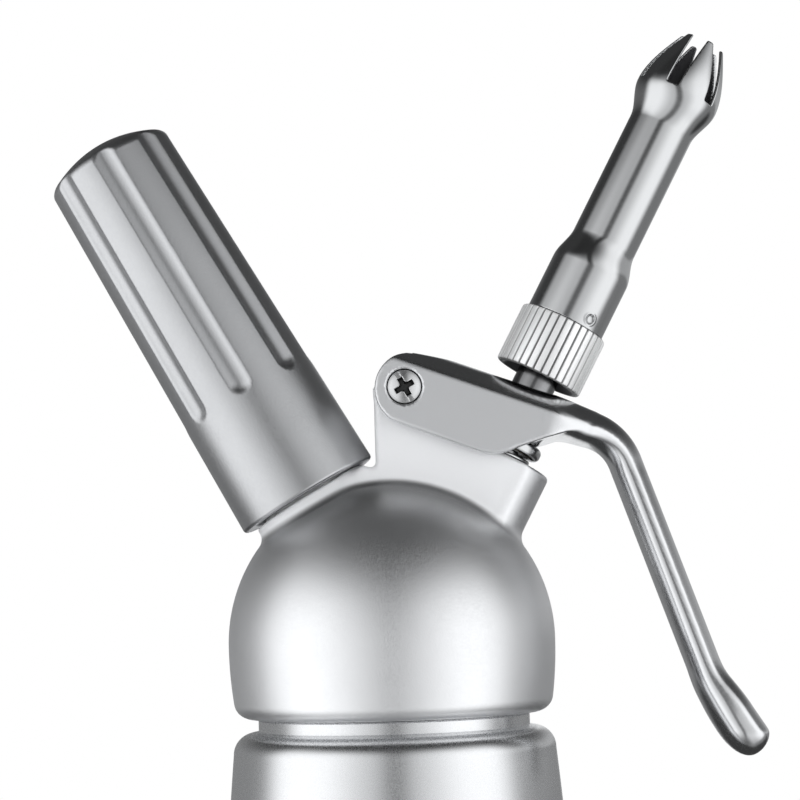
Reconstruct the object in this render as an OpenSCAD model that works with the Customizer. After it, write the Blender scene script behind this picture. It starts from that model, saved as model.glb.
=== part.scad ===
// Whipped cream dispenser: pressure bottle, screw-on valve head, gas charger holder,
// spring-returned dispensing lever and a star nozzle.
// Origin: centre of the bottle's base. +Z up, the lever and nozzle lean towards +X,
// the charger holder leans towards -X, and the pivot screw's head faces -Y.

/* [Bottle] */
// Outer diameter of the bottle's body
bottle_d = 78; // [74:1:90]
// Diameter of the bottle where its shoulder turns in
shoulder_d = 67.4; // [66:0.2:71]
// Height of the bottle's shoulder above the base
shoulder_h = 184; // [150:1:230]
// Height at which the body starts to draw in towards the shoulder
taper_h = 75; // [50:1:110]
// Rounding of the bottle's shoulder
shoulder_round = 4.5; // [3:0.5:7]
// Rounding of the bottle's bottom edge
base_round = 7; // [3:0.5:12]
// Wall thickness of the bottle
bottle_wall = 1.6; // [1:0.1:2.5]
// Outer diameter of the threaded neck
neck_d = 52; // [48:1:52]
// Height of the neck above the head's lower rim
neck_rise = 12; // [9:0.5:13]
// Diameter of the stop bead under the head
bead_d = 57.5; // [56:0.5:60]
// Height of the stop bead
bead_h = 2.8; // [1.5:0.1:4]

/* [Head] */
// Diameter of the head's dome
dome_d = 69.4; // [69:0.2:74]
// Height of the dome's widest line above the rim
dome_rise = 15.4; // [14:0.2:18]
// Diameter of the head at its lower rim
rim_d = 66.6; // [66:0.2:69]
// Rounding of the lower rim's outer edge
rim_round = 3; // [1:0.5:4]
// Radius of the chamber under the dome
chamber_r = 22.5; // [20:0.5:23]
// Height of the gasket's seat above the rim
seat_rise = 14.6; // [14.6:0.2:16]
// Thickness of the head gasket
gasket_h = 2.4; // [1.5:0.1:2.4]

/* [Charger holder] */
// Lean of the charger holder from the vertical
holder_tilt = 29.5; // [27:0.5:32]
// Outer diameter of the holder's mouth
holder_mouth_d = 31.7; // [30:0.1:33]
// Outer diameter of the holder just under its cap
holder_top_d = 28.6; // [28:0.1:30]
// Length of the holder
holder_l = 88.5; // [86:0.5:96]
// Height of the holder's rounded cap
cap_h = 5.5; // [4:0.5:7]
// Number of grip flutes round the holder
flute_count = 8; // [6:1:10]
// Depth of a grip flute
flute_depth = 0.9; // [0.5:0.1:1.2]
// Radius of a grip flute's round bottom
flute_r = 4; // [3:0.1:5]
// Distance from the mouth to the lower end of the flutes
flute_start = 27; // [20:1:40]
// Diameter of the boss that the holder closes on
holder_boss_d = 26.2; // [25:0.2:27]
// Diameter of the threaded stub inside the holder
stub_d = 21.2; // [20:0.2:21.6]
// Length of the threaded stub
stub_l = 14; // [12:0.5:16]
// Diameter of the gas charger
charger_d = 18.2; // [17.8:0.1:18.4]
// Length of the gas charger
charger_l = 65.5; // [64:0.5:67]
// Diameter of the gas charger's neck
charger_neck_d = 8.8; // [8:0.1:9.2]

/* [Valve] */
// Lean of the valve and the nozzle from the vertical
valve_tilt = 28.2; // [26:0.2:30]
// Diameter of the boss round the valve
valve_boss_d = 23.6; // [23:0.2:24.4]
// Distance from the dome's centre height to the boss's top face, along the valve
valve_boss_top = 44.4; // [43:0.2:46]
// Diameter of the recess that holds the return spring
recess_d = 18; // [17.4:0.2:18.4]
// Depth of the recess
recess_l = 9; // [8:0.2:10]
// Diameter of the stem inside its bush
stem_d = 7.2; // [6.8:0.1:7.6]
// Diameter of the stem above the push ring
stem_top_d = 9.2; // [8.8:0.1:9.6]
// Diameter of the passage through the stem
stem_bore_d = 3.6; // [3:0.1:4]
// Diameter of the push ring
ring_d = 16.2; // [15.6:0.1:16.6]
// Thickness of the push ring
ring_h = 3; // [2.6:0.1:3.4]
// Distance from the boss's top face up to the push ring
ring_lift = 1.7; // [1.4:0.1:2.4]
// Travel of the valve when the lever is squeezed
valve_travel = 3; // [2:0.1:3.2]
// Wire diameter of the return spring
spring_wire = 0.9; // [0.7:0.1:1]
// Mean diameter of the return spring
spring_d = 13.2; // [12.6:0.2:13.8]
// Number of turns of the return spring
spring_turns = 3.5; // [2.5:0.5:3.5]

/* [Lever] */
// Place of the lever's pivot to the right of the bottle's axis
pivot_x = 4.2; // [3.6:0.1:5]
// Height of the lever's pivot above the rim
pivot_rise = 68.5; // [68:0.1:69.5]
// Slope of the lever's top below the horizontal
lever_slope = 20.5; // [19:0.5:22]
// Width of the lever over its cheeks
lever_w = 27.8; // [27.6:0.1:29]
// Thickness of a cheek
cheek_t = 2.9; // [2.4:0.1:2.9]
// Radius of the lever's round end
cheek_end_r = 7.8; // [7.4:0.1:8.2]
// Thickness of the handle's bar
handle_t = 7.1; // [6:0.1:8]
// Width of the handle's bar
handle_w = 13; // [11:0.5:15]
// Length of the handle's straight stretch
handle_l = 47; // [40:0.5:50]
// Radius of the elbow's middle line
elbow_r = 12; // [10:0.5:14]
// Angle of the handle from the vertical
handle_lean = 19; // [17:0.5:22]
// Thickness of the lug between the cheeks
lug_w = 21; // [20.6:0.1:21.2]
// Diameter of the pivot's barrel
barrel_d = 5.8; // [5:0.1:6.2]
// Diameter of the pivot screw's shank
screw_d = 4; // [3:0.1:4.2]
// Diameter of the pivot screw's head
screw_head_d = 7.2; // [6.8:0.1:7.4]

/* [Nozzle] */
// Distance from the boss's top face up to the nozzle's collar
collar_lift = 18.6; // [18:0.2:21]
// Diameter of the knurled collar
collar_d = 19.5; // [19:0.1:21]
// Length of the knurled collar
collar_l = 13.2; // [12.6:0.2:15]
// Number of ribs round the collar
rib_count = 34; // [28:1:40]
// Height of a collar rib
rib_h = 0.45; // [0.3:0.05:0.6]
// Diameter of the nozzle's base
nozzle_base_d = 17.4; // [17:0.1:18]
// Length of the nozzle's base
nozzle_base_l = 12.5; // [12:0.5:15]
// Diameter of the nozzle's tube
nozzle_tube_d = 14.4; // [13.6:0.1:15]
// Length of the tube between base and bulb
nozzle_tube_l = 28; // [24:0.5:34]
// Diameter of the nozzle's bulb
bulb_d = 18.6; // [17.8:0.1:19.4]
// Length of the bulb and its prongs
bulb_l = 21.2; // [19:0.1:23]
// Outer diameter of the star opening
mouth_d = 9.8; // [9:0.1:10.4]
// Wall thickness of the nozzle
nozzle_wall = 0.9; // [0.7:0.05:1.2]
// Number of slots in the nozzle's mouth
slot_count = 6; // [5:1:7]
// Width of a slot at its bottom
slot_w = 2.6; // [2:0.1:3]
// Width of a slot at the nozzle's mouth
slot_mouth_w = 3.3; // [2.6:0.1:3.6]

/* [Fits] */
// Radial running clearance of turning and sliding round parts
run_gap = 0.05; // [0.03:0.01:0.08]
// Gap between flat faces that nearly touch
face_gap = 0.2; // [0.1:0.05:0.3]
// Radial clearance of the screw threads
thread_gap = 0.3; // [0.2:0.05:0.4]
// Height of a thread's ridge
ridge_h = 0.6; // [0.4:0.05:0.8]

/* [Hidden] */
round_fn = 72;
small_fn = 48;
eps = 0.01;

// Colours
polished = [0.80, 0.81, 0.82];
satin = [0.70, 0.71, 0.72];
brass = [0.80, 0.65, 0.35];
rubber_grey = [0.30, 0.30, 0.31];
plastic_grey = [0.55, 0.56, 0.58];

// Distance from the dome's centre height at which the bosses start, inside the dome
boss_start = 23;

// Heights on the bottle's axis
rim_z = shoulder_h + bead_h + face_gap;
dome_z = rim_z + dome_rise;
neck_top_z = rim_z + neck_rise;
seat_z = rim_z + seat_rise;
body_r = bottle_d / 2;
neck_r = neck_d / 2;
head_bore_r = neck_r + ridge_h + thread_gap;
neck_pitch = 3;

// Stretches along the charger holder's axis, counted from the dome's centre height
holder_x = 0.9;
holder_boss_top = dome_d / 2 + 1;
holder_boss_foot = 1.6;
holder_start = holder_boss_top + 2 * face_gap + 0.1;
holder_end = holder_start + holder_l;
stub_top = holder_boss_top + stub_l;
pocket_l = 6;
pocket_r = charger_neck_d / 2 + 1.2;
pin_seal_h = 1.5;
pin_seat = stub_top - pocket_l;
charger_start = pin_seat + pin_seal_h + 1.5 * face_gap;
charger_end = charger_start + charger_l;
charger_r = charger_d / 2;
charger_neck_l = 7.5;
charger_shoulder_l = 9;
charger_hole_r = 1.35;
charger_shell = 1.8;
pin_r = 1;
pin_tip = charger_start + 2.7;
sleeve_wall = 1.5;
sleeve_in_r = charger_r + face_gap;
sleeve_out_r = sleeve_in_r + sleeve_wall;
sleeve_start = stub_top + 3;
sleeve_end = charger_end + face_gap + sleeve_wall;
holder_bore_r = sleeve_out_r + thread_gap;
holder_thread_r = stub_d / 2 + ridge_h + thread_gap;
passage_r = 4;
valve_body_start = 20;
sleeve_post_start = 13.5;
sleeve_post_r = 3;
holder_pitch = 2;
flute_lean = atan((holder_mouth_d - holder_top_d) / 2 / (holder_l - cap_h));

// Stretches along the valve's axis, counted from the dome's centre height
valve_x = 3.2;
valve_boss_foot = 2.5;
valve_boss_edge = 0.8;
valve_seat = 24;
bush_start = valve_seat + valve_travel + 1;
bush_flange_h = 1.5;
recess_floor = valve_boss_top - recess_l;
spring_floor = recess_floor + bush_flange_h;
ring_floor = valve_boss_top + ring_lift;
ring_top = ring_floor + ring_h;
bush_r = 5;
seal_pocket_r = 8;
seal_h = 2.5;
seal_r = 6.5;
stem_r = stem_d / 2;
stem_bore_r = stem_bore_d / 2;
stem_foot_r = 2.5;
nut_h = 2.4;
stem_foot = valve_seat - seal_h - nut_h - 0.6;
o_ring_wire = 0.8;
o_ring_places = [bush_start + valve_travel + 1, bush_start + valve_travel + 3.5];
collar_start = valve_boss_top + collar_lift;
collar_end = collar_start + collar_l;
nozzle_pitch = 1.25;

// Lever, in its own frame: x along the lever's top, z square to it, pivot at the origin.
// The web joins the cheeks at the top; the neck is the bar's stretch before the elbow
lever_angle = 90 - handle_lean - lever_slope;
cheek_in = lever_w / 2 - cheek_t;
web_top = 9.3;
web_t = 2.8;
web_start = -1;
crown_r = 10.7;
crown_edge = 35;
// Cheeks: middle of the round end, lowest line, the rounding there and its middle
cheek_end_x = 1.6;
cheek_low = -7.7;
cheek_low_r = 10;
cheek_low_x = 19;
hollow_end = 31;
neck_t = 7.4;
bar_mid = web_top - 0.3 - neck_t / 2;
elbow_start = 40.5;
lug_r = web_top - web_t - 0.3;
arm = pivot_to_valve();
web_swing = 0.5 * valve_travel;
nose_r = 2.2;
nose_gap = 0.3;
barrel_r = barrel_d / 2;
washer_t = cheek_in - lug_w / 2 - run_gap;
head_depth = 1.9;

// Distance of the valve's axis from the lever's pivot, square to that axis
function pivot_to_valve() =
    (valve_x - pivot_x) * cos(valve_tilt)
    - (dome_rise - pivot_rise) * sin(valve_tilt);

// Point of the side view, above the rim: s along the valve's axis and out to its right
function valve_point(s, out) = [
    valve_x + s * sin(valve_tilt) + out * cos(valve_tilt),
    dome_rise + s * cos(valve_tilt) - out * sin(valve_tilt)
];

// Points of an arc round [cx, cy], from angle a0 to angle a1
function arc(cx, cy, r, a0, a1, n = 8) =
    [for (i = [0:n]) let (a = a0 + (a1 - a0) * i / n) [cx + r * cos(a), cy + r * sin(a)]];

function backwards(pts) = [for (i = [len(pts) - 1:-1:0]) pts[i]];

// Frames of the two leaning axes and of the lever
module on_holder_axis(s = 0) {
    translate([holder_x, 0, dome_z])
        rotate([0, -holder_tilt, 0])
            translate([0, 0, s])
                children();
}

module on_valve_axis(s = 0) {
    translate([valve_x, 0, dome_z])
        rotate([0, valve_tilt, 0])
            translate([0, 0, s])
                children();
}

module on_pivot() {
    translate([pivot_x, 0, rim_z + pivot_rise])
        children();
}

module on_lever() {
    on_pivot()
        rotate([0, lever_slope, 0])
            children();
}

// A solid of side view pts (x, z), w wide in y
module side_plate(pts, w) {
    rotate([90, 0, 0])
        linear_extrude(height = w, center = true)
            polygon(pts);
}

// A ring of rectangular section
module ring(r_out, r_in, h) {
    difference() {
        cylinder(r = r_out, h = h, $fn = round_fn);
        translate([0, 0, -1])
            cylinder(r = r_in, h = h + 2, $fn = round_fn);
    }
}

// Thread ridges round a cylinder of radius r: count rings, one pitch apart
module ridges(r, pitch, count) {
    for (i = [0:count - 1])
        translate([0, 0, i * pitch])
            rotate_extrude($fn = round_fn)
                polygon([
                    [r - ridge_h, -0.3 * pitch],
                    [r, -0.3 * pitch],
                    [r + ridge_h, -0.1 * pitch],
                    [r + ridge_h, 0.1 * pitch],
                    [r, 0.3 * pitch],
                    [r - ridge_h, 0.3 * pitch]
                ]);
}

// Bottle ------------------------------------------------------------------

// Radius of the body's drawn-in stretch at height z
taper_r = ((body_r - shoulder_d / 2) + pow(shoulder_h - taper_h, 2) / (body_r - shoulder_d / 2)) / 2;
function body_radius(z) =
    z < taper_h ? body_r : body_r - taper_r + sqrt(pow(taper_r, 2) - pow(z - taper_h, 2));

// Half section of the bottle's skin, drawn in by inset, from the axis at the base up to the neck
function bottle_skin(inset) = concat(
    [[0, inset]],
    arc(body_r - base_round, base_round, base_round - inset, -90, 0, 8),
    [for (i = [0:12])
        let (z = taper_h + (shoulder_h - shoulder_round - taper_h) * i / 12)
        [body_radius(z) - inset, z]],
    arc(body_radius(shoulder_h - shoulder_round) - shoulder_round,
        shoulder_h - shoulder_round, shoulder_round - inset, 15, 90, 6)
);

module bottle() {
    color(satin)
    difference() {
        union() {
            rotate_extrude($fn = round_fn)
                polygon(concat(bottle_skin(0), [[0, shoulder_h]]));
            translate([0, 0, shoulder_h - 1])
                cylinder(d = bead_d, h = bead_h + 1, $fn = round_fn);
            cylinder(r = neck_r, h = neck_top_z, $fn = round_fn);
            translate([0, 0, rim_z + neck_pitch])
                ridges(neck_r, neck_pitch, 3);
        }
        rotate_extrude($fn = round_fn)
            polygon(concat(bottle_skin(bottle_wall), [[0, shoulder_h - bottle_wall]]));
        translate([0, 0, taper_h])
            cylinder(r = neck_r - bottle_wall, h = neck_top_z, $fn = round_fn);
    }
}

module head_gasket() {
    color(rubber_grey)
    translate([0, 0, seat_z - gasket_h])
        ring(head_bore_r - 2 * run_gap, neck_r - 2.6, gasket_h);
}

// Head --------------------------------------------------------------------

// Half section of the dome: curved skirt, widest line, round top
skirt_r = ((dome_d - rim_d) / 2 + pow(dome_rise, 2) / ((dome_d - rim_d) / 2)) / 2;
skirt_foot_z = rim_z + rim_round;
function skirt_radius(z) =
    dome_d / 2 - skirt_r + sqrt(pow(skirt_r, 2) - pow(dome_z - z, 2));

module dome() {
    rotate_extrude($fn = round_fn)
        polygon(concat(
            [[0, rim_z]],
            arc(skirt_radius(skirt_foot_z) - rim_round, skirt_foot_z, rim_round, -90, 0, 5),
            [for (i = [1:4])
                let (z = skirt_foot_z + (dome_z - skirt_foot_z) * i / 5)
                [skirt_radius(z), z]],
            arc(0, dome_z, dome_d / 2, 0, 90, 18)
        ));
}

// Distance along a leaning axis at which a circle of radius r round it sinks into the dome.
// The axis crosses the dome's centre height at x
function dome_meets(r, x, tilt) =
    sqrt(pow(dome_d / 2, 2) - pow(r + abs(x) * cos(tilt), 2)) - x * sin(tilt);

// A round boss whose foot blends into the dome at foot_s
module boss(d, top, edge, foot, foot_s) {
    r = d / 2;
    rotate_extrude($fn = round_fn)
        polygon(concat(
            [[0, boss_start], [r + foot, boss_start]],
            arc(r + foot, foot_s + foot, foot, 270, 180, 6),
            arc(r - edge, top - edge, edge, 0, 90, 4),
            [[0, top]]
        ));
}

// The lug between the lever's cheeks, from its foot on the dome up to the pivot
module lug() {
    left = pivot_x - lug_r - 0.3;
    foot_z = dome_rise + 18;
    top_z = pivot_rise;
    side = arm - valve_boss_d / 2 - 2;
    translate([0, 0, rim_z])
        side_plate([
            [left, foot_z],
            [left, top_z],
            [pivot_x + side * cos(valve_tilt), top_z - side * sin(valve_tilt)],
            valve_point(valve_boss_top - valve_boss_edge, 0.5 - valve_boss_d / 2),
            valve_point(valve_boss_top - valve_boss_edge, -4),
            valve_point(20, 0)
        ], lug_w);
    on_pivot()
        rotate([90, 0, 0])
            cylinder(r = lug_r, h = lug_w, center = true, $fn = round_fn);
}

// The chamber, the thread bore and the two leaning passages inside the head
module head_spaces() {
    translate([0, 0, rim_z - 1])
        cylinder(r = head_bore_r, h = seat_rise + 1, $fn = round_fn);
    rotate_extrude($fn = round_fn)
        polygon(concat([[0, seat_z - 1], [chamber_r, seat_z - 1]],
            arc(0, seat_z, chamber_r, 0, 90, 12)));
    on_holder_axis(10)
        cylinder(r = passage_r, h = pin_seat, $fn = small_fn);
    on_holder_axis(pin_seat)
        cylinder(r = pocket_r, h = pocket_l + 1, $fn = small_fn);
    on_valve_axis(10)
        cylinder(r = seal_pocket_r, h = valve_seat - 10, $fn = small_fn);
    on_valve_axis(10)
        cylinder(r = bush_r, h = valve_boss_top - 10, $fn = small_fn);
    on_valve_axis(recess_floor)
        cylinder(d = recess_d, h = recess_l + 1, $fn = round_fn);
    on_pivot()
        rotate([90, 0, 0])
            cylinder(r = barrel_r + run_gap, h = lug_w + 2, center = true, $fn = small_fn);
}

// The plate that fills the corner between the charger boss and the lug
module corner_plate() {
    top = holder_boss_top - 0.5;
    rim = [
        holder_x - top * sin(holder_tilt) + holder_boss_d / 2 * cos(holder_tilt),
        dome_z + top * cos(holder_tilt) + holder_boss_d / 2 * sin(holder_tilt)
    ];
    side_plate([
        rim - [8, 10],
        rim - [4, 4 * tan(holder_tilt)],
        rim,
        [pivot_x - lug_r, rim[1] - 1.2],
        [pivot_x, rim[1] - 10]
    ], lug_w);
}

module head() {
    color(satin)
    difference() {
        union() {
            dome();
            on_holder_axis()
                boss(holder_boss_d, holder_boss_top, 0.6, holder_boss_foot,
                    dome_meets(holder_boss_d / 2 + holder_boss_foot, holder_x, -holder_tilt));
            on_holder_axis()
                translate([0, 0, boss_start])
                    cylinder(d = stub_d, h = stub_top - boss_start, $fn = round_fn);
            on_holder_axis(stub_top - 2 * holder_pitch - 2)
                ridges(stub_d / 2, holder_pitch, 3);
            on_valve_axis()
                intersection() {
                    boss(valve_boss_d, valve_boss_top, valve_boss_edge, valve_boss_foot,
                        dome_meets(valve_boss_d / 2 + valve_boss_foot, valve_x, valve_tilt));
                    translate([-dome_d / 2, -lug_w / 2, 0])
                        cube([dome_d, lug_w, valve_boss_top + 1]);
                }
            lug();
            corner_plate();
        }
        head_spaces();
    }
}

// Charger side ------------------------------------------------------------

module charger_valve_body() {
    color(brass)
    on_holder_axis()
        difference() {
            union() {
                translate([0, 0, sleeve_post_start])
                    cylinder(r = sleeve_post_r, h = valve_body_start, $fn = small_fn);
                translate([0, 0, valve_body_start])
                    cylinder(r = passage_r - run_gap, h = pin_seat - valve_body_start, $fn = small_fn);
            }
            translate([0, 0, valve_body_start - 3])
                cylinder(r = 0.8, h = pin_seat, $fn = 24);
            translate([0, 0, valve_body_start - 3])
                rotate([90, 0, 0])
                    cylinder(r = 0.8, h = 4 * sleeve_post_r, center = true, $fn = 24);
            translate([0, 0, pin_seat - 6])
                cylinder(r = pin_r, h = 7, $fn = 24);
        }
}

module piercing_pin() {
    color(polished)
    on_holder_axis(pin_seat - 6)
        rotate_extrude($fn = 24)
            polygon([
                [0.4, 0],
                [pin_r, 0],
                [pin_r, pin_tip - pin_seat + 4.5],
                [0.4, pin_tip - pin_seat + 6]
            ]);
}

module pin_seal() {
    color(rubber_grey)
    on_holder_axis(pin_seat)
        ring(pocket_r - run_gap, pin_r + run_gap, pin_seal_h);
}

module non_return_sleeve() {
    color(rubber_grey)
    on_holder_axis(sleeve_post_start)
        ring(sleeve_post_r + 1.4, sleeve_post_r + run_gap, valve_body_start - sleeve_post_start - face_gap);
}

// Half section of the gas charger, drawn in by inset: neck, round shoulder, body, round end
function charger_skin(inset) = concat(
    [[0, charger_start + inset]],
    [[charger_neck_d / 2 - inset, charger_start + inset]],
    [[charger_neck_d / 2 - inset, charger_start + charger_neck_l]],
    [for (i = [1:6])
        let (a = 90 * i / 6, h = charger_shoulder_l)
        [charger_neck_d / 2 + (charger_r - charger_neck_d / 2) * sin(a) - inset,
         charger_start + charger_neck_l + h * (1 - cos(a))]],
    [for (i = [0:6])
        let (a = 90 * i / 6)
        [(charger_r - inset) * cos(a), charger_end - charger_r + (charger_r - inset) * sin(a)]]
);

module gas_charger() {
    color(polished)
    on_holder_axis()
        difference() {
            rotate_extrude($fn = round_fn)
                polygon(charger_skin(0));
            rotate_extrude($fn = round_fn)
                polygon(charger_skin(charger_shell));
            translate([0, 0, charger_start - 1])
                cylinder(r = charger_hole_r, h = charger_shell + 2, $fn = 24);
        }
}

module charger_sleeve() {
    color(plastic_grey)
    on_holder_axis()
        difference() {
            translate([0, 0, sleeve_start])
                cylinder(r = sleeve_out_r, h = sleeve_end - sleeve_start, $fn = round_fn);
            translate([0, 0, sleeve_start - 1])
                cylinder(r = sleeve_in_r, h = charger_end + face_gap - sleeve_start + 1, $fn = round_fn);
        }
}

// One grip flute: a round-ended groove that runs out through the cap
module flute() {
    depth_r = holder_mouth_d / 2 - flute_start * tan(flute_lean) + flute_r - flute_depth;
    translate([depth_r, 0, flute_start])
        rotate([0, -flute_lean, 0]) {
            cylinder(r = flute_r, h = holder_l, $fn = small_fn);
            sphere(r = flute_r, $fn = small_fn);
        }
}

module charger_holder() {
    mouth_r = holder_mouth_d / 2;
    top_r = holder_top_d / 2;
    side_l = holder_l - cap_h;
    edge = 3;
    lip = 0.7;
    color(satin)
    on_holder_axis(holder_start)
        difference() {
            rotate_extrude($fn = round_fn)
                polygon(concat(
                    [[0, 0], [mouth_r - lip, 0], [mouth_r, lip]],
                    arc(top_r - edge, side_l, edge, flute_lean, 70, 5),
                    [for (i = [1:5])
                        let (x = (top_r - edge) * (1 - i / 5))
                        [x, holder_l - (cap_h - edge * sin(70)) * pow(x / (top_r - edge), 2)]]
                ));
            for (i = [0:flute_count - 1])
                rotate([0, 0, -90 + i * 360 / flute_count])
                    flute();
            translate([0, 0, -1])
                cylinder(r = holder_thread_r, h = stub_top - holder_start + 3, $fn = round_fn);
            translate([0, 0, -1])
                cylinder(r = holder_bore_r, h = sleeve_end + face_gap - holder_start + 1, $fn = round_fn);
        }
}

// Valve side --------------------------------------------------------------

module stem_bush() {
    color(brass)
    on_valve_axis()
        difference() {
            union() {
                translate([0, 0, bush_start])
                    cylinder(r = bush_r - run_gap, h = recess_floor - bush_start, $fn = small_fn);
                translate([0, 0, recess_floor])
                    cylinder(r = recess_d / 2 - 2 * run_gap, h = bush_flange_h, $fn = small_fn);
            }
            translate([0, 0, bush_start - 1])
                cylinder(r = stem_r + run_gap, h = recess_l + bush_start, $fn = small_fn);
        }
}

module valve_stem() {
    thread_l = 8;
    color(polished)
    on_valve_axis()
        difference() {
            union() {
                translate([0, 0, stem_foot])
                    cylinder(r = stem_foot_r, h = 8, $fn = small_fn);
                translate([0, 0, valve_seat - face_gap])
                    cylinder(r = stem_r, h = ring_top - valve_seat + 1, $fn = small_fn);
                translate([0, 0, ring_top])
                    cylinder(d = stem_top_d, h = collar_start + thread_l + 2 - ring_top, $fn = small_fn);
                translate([0, 0, collar_start + thread_l - 2 * nozzle_pitch])
                    ridges(stem_top_d / 2, nozzle_pitch, 3);
            }
            translate([0, 0, valve_seat + 1])
                cylinder(r = stem_bore_r, h = collar_end, $fn = small_fn);
            for (a = [0, 90])
                translate([0, 0, valve_seat + 2.4])
                    rotate([90, 0, a])
                        cylinder(r = 1.3, h = 3 * stem_r, center = true, $fn = 24);
            for (s = o_ring_places)
                translate([0, 0, s - o_ring_wire / 2 - run_gap])
                    ring(stem_r + 1, stem_r - o_ring_wire, o_ring_wire + 2 * run_gap);
        }
}

module stem_o_rings() {
    color(rubber_grey)
    on_valve_axis()
        for (s = o_ring_places)
            translate([0, 0, s])
                rotate_extrude($fn = small_fn)
                    translate([stem_r - o_ring_wire / 2, 0])
                        circle(d = o_ring_wire - 2 * eps, $fn = 24);
}

module valve_seal() {
    color(rubber_grey)
    on_valve_axis(valve_seat - face_gap - seal_h)
        ring(seal_r, stem_foot_r + run_gap, seal_h);
}

module valve_nut() {
    color(polished)
    on_valve_axis(valve_seat - face_gap - seal_h - nut_h)
        difference() {
            cylinder(r = 4.6, h = nut_h, $fn = 6);
            translate([0, 0, -1])
                cylinder(r = stem_foot_r + run_gap, h = nut_h + 2, $fn = small_fn);
        }
}

module push_ring() {
    edge = 1.2;
    r = ring_d / 2;
    color(polished)
    on_valve_axis(ring_floor)
        rotate_extrude($fn = round_fn)
            polygon(concat(
                [[stem_r + run_gap, 0]],
                arc(r - edge, edge, edge, -90, 0, 5),
                arc(r - edge, ring_h - edge, edge, 0, 90, 5),
                [[stem_r + run_gap, ring_h]]
            ));
}

// Return spring: one unbroken tube along a helix, its ends square to their seats
spring_l = ring_floor - spring_floor;
spring_steps = 8;
spring_sides = 6;
spring_lead = spring_wire + 0.6;
spring_rings = spring_turns * spring_steps;
spring_pitch = (spring_l - 2 * spring_lead) / spring_turns;
spring_path = concat(
    [[0, 0], [0, spring_wire]],
    [for (i = [0:spring_rings]) [360 * i / spring_steps, spring_lead + spring_pitch * i / spring_steps]],
    [[360 * spring_turns, spring_l - spring_wire], [360 * spring_turns, spring_l]]
);
function spring_point(k) =
    let (a = spring_path[k][0]) [spring_d / 2 * cos(a), spring_d / 2 * sin(a), spring_path[k][1]];
spring_last = len(spring_path) - 1;
spring_gap = min([for (i = [0:spring_last], j = [0:spring_last])
    if (j - i >= spring_steps - 1) norm(spring_point(i) - spring_point(j)) - spring_wire]);
echo(least_spring_gap = spring_gap);

function spring_ring(k) =
    let (
        before = spring_point(max(k - 1, 0)),
        after = spring_point(min(k + 1, spring_last)),
        along = (after - before) / norm(after - before),
        a = spring_path[k][0],
        out = [cos(a), sin(a), 0],
        flat = out - (out * along) * along,
        n = flat / norm(flat),
        b = cross(along, n)
    )
    [for (i = [0:spring_sides - 1])
        let (t = 360 * i / spring_sides)
        spring_point(k) + spring_wire / 2 * (cos(t) * n + sin(t) * b)];

module return_spring() {
    points = [for (k = [0:spring_last]) each spring_ring(k)];
    last = spring_last * spring_sides;
    sides = [for (k = [0:spring_last - 1], i = [0:spring_sides - 1])
        let (
            p = k * spring_sides + i,
            q = k * spring_sides + (i + 1) % spring_sides
        )
        each [[p, p + spring_sides, q], [q, p + spring_sides, q + spring_sides]]];
    ends = [for (i = [1:spring_sides - 2])
        each [[0, i, i + 1], [last, last + i + 1, last + i]]];
    color(polished)
    on_valve_axis(spring_floor)
        polyhedron(points = points, faces = concat(sides, ends), convexity = 4);
}

// Lever -------------------------------------------------------------------

// Middle line of the handle's bar in the lever's frame: [x, z, heading, thickness, width]
elbow_end = [elbow_start + elbow_r * sin(lever_angle), bar_mid - elbow_r * (1 - cos(lever_angle))];
handle_dir = [cos(lever_angle), -sin(lever_angle)];
handle_end = elbow_end + handle_l * handle_dir;
tip_turn = 12;
tip_r = 22;
tip_end = handle_end + tip_r * [sin(lever_angle) - sin(lever_angle - tip_turn),
    cos(lever_angle) - cos(lever_angle - tip_turn)];
// Paddle at the handle's end: distance past the turn, thickness and width as shares of the handle's
paddle = [[4, 1.06, 1.1], [8, 1.12, 1.18], [12, 1.04, 1.1], [14.6, 0.6, 0.7]];
bar_stations = concat(
    [for (x = [hollow_end - 3, hollow_end + 5]) [x, bar_mid, 0, neck_t, lever_w - 6 - (x - hollow_end) / 2]],
    [for (i = [0:5])
        let (a = lever_angle * i / 5)
        [elbow_start + elbow_r * sin(a), bar_mid - elbow_r * (1 - cos(a)), a,
         neck_t + (handle_t - neck_t) * i / 5, handle_w + (lever_w - 8 - handle_w) * (1 - i / 5)]],
    [for (i = [1:3])
        [elbow_end[0] + handle_l * i / 3 * handle_dir[0],
         elbow_end[1] + handle_l * i / 3 * handle_dir[1], lever_angle, handle_t, handle_w]],
    [for (i = [1:3])
        let (h = lever_angle - tip_turn * i / 3)
        [handle_end[0] + tip_r * (sin(lever_angle) - sin(h)),
         handle_end[1] + tip_r * (cos(lever_angle) - cos(h)),
         h, handle_t * (1 + 0.03 * i), handle_w * (1 + 0.02 * i)]],
    [for (p = paddle)
        [tip_end[0] + p[0] * cos(lever_angle - tip_turn),
         tip_end[1] - p[0] * sin(lever_angle - tip_turn),
         lever_angle - tip_turn, handle_t * p[1], handle_w * p[2]]]
);
bar_sides = 16;

// Cross-section of the bar at station s: a rounded oblong square to its heading
function bar_ring(s) =
    [for (i = [0:bar_sides - 1])
        let (
            t = 360 * (i + 0.5) / bar_sides,
            up = s[3] / 2 * sign(cos(t)) * pow(abs(cos(t)), 0.7),
            out = s[4] / 2 * sign(sin(t)) * pow(abs(sin(t)), 0.7)
        )
        [s[0] + up * sin(s[2]), out, s[1] + up * cos(s[2])]];

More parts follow.
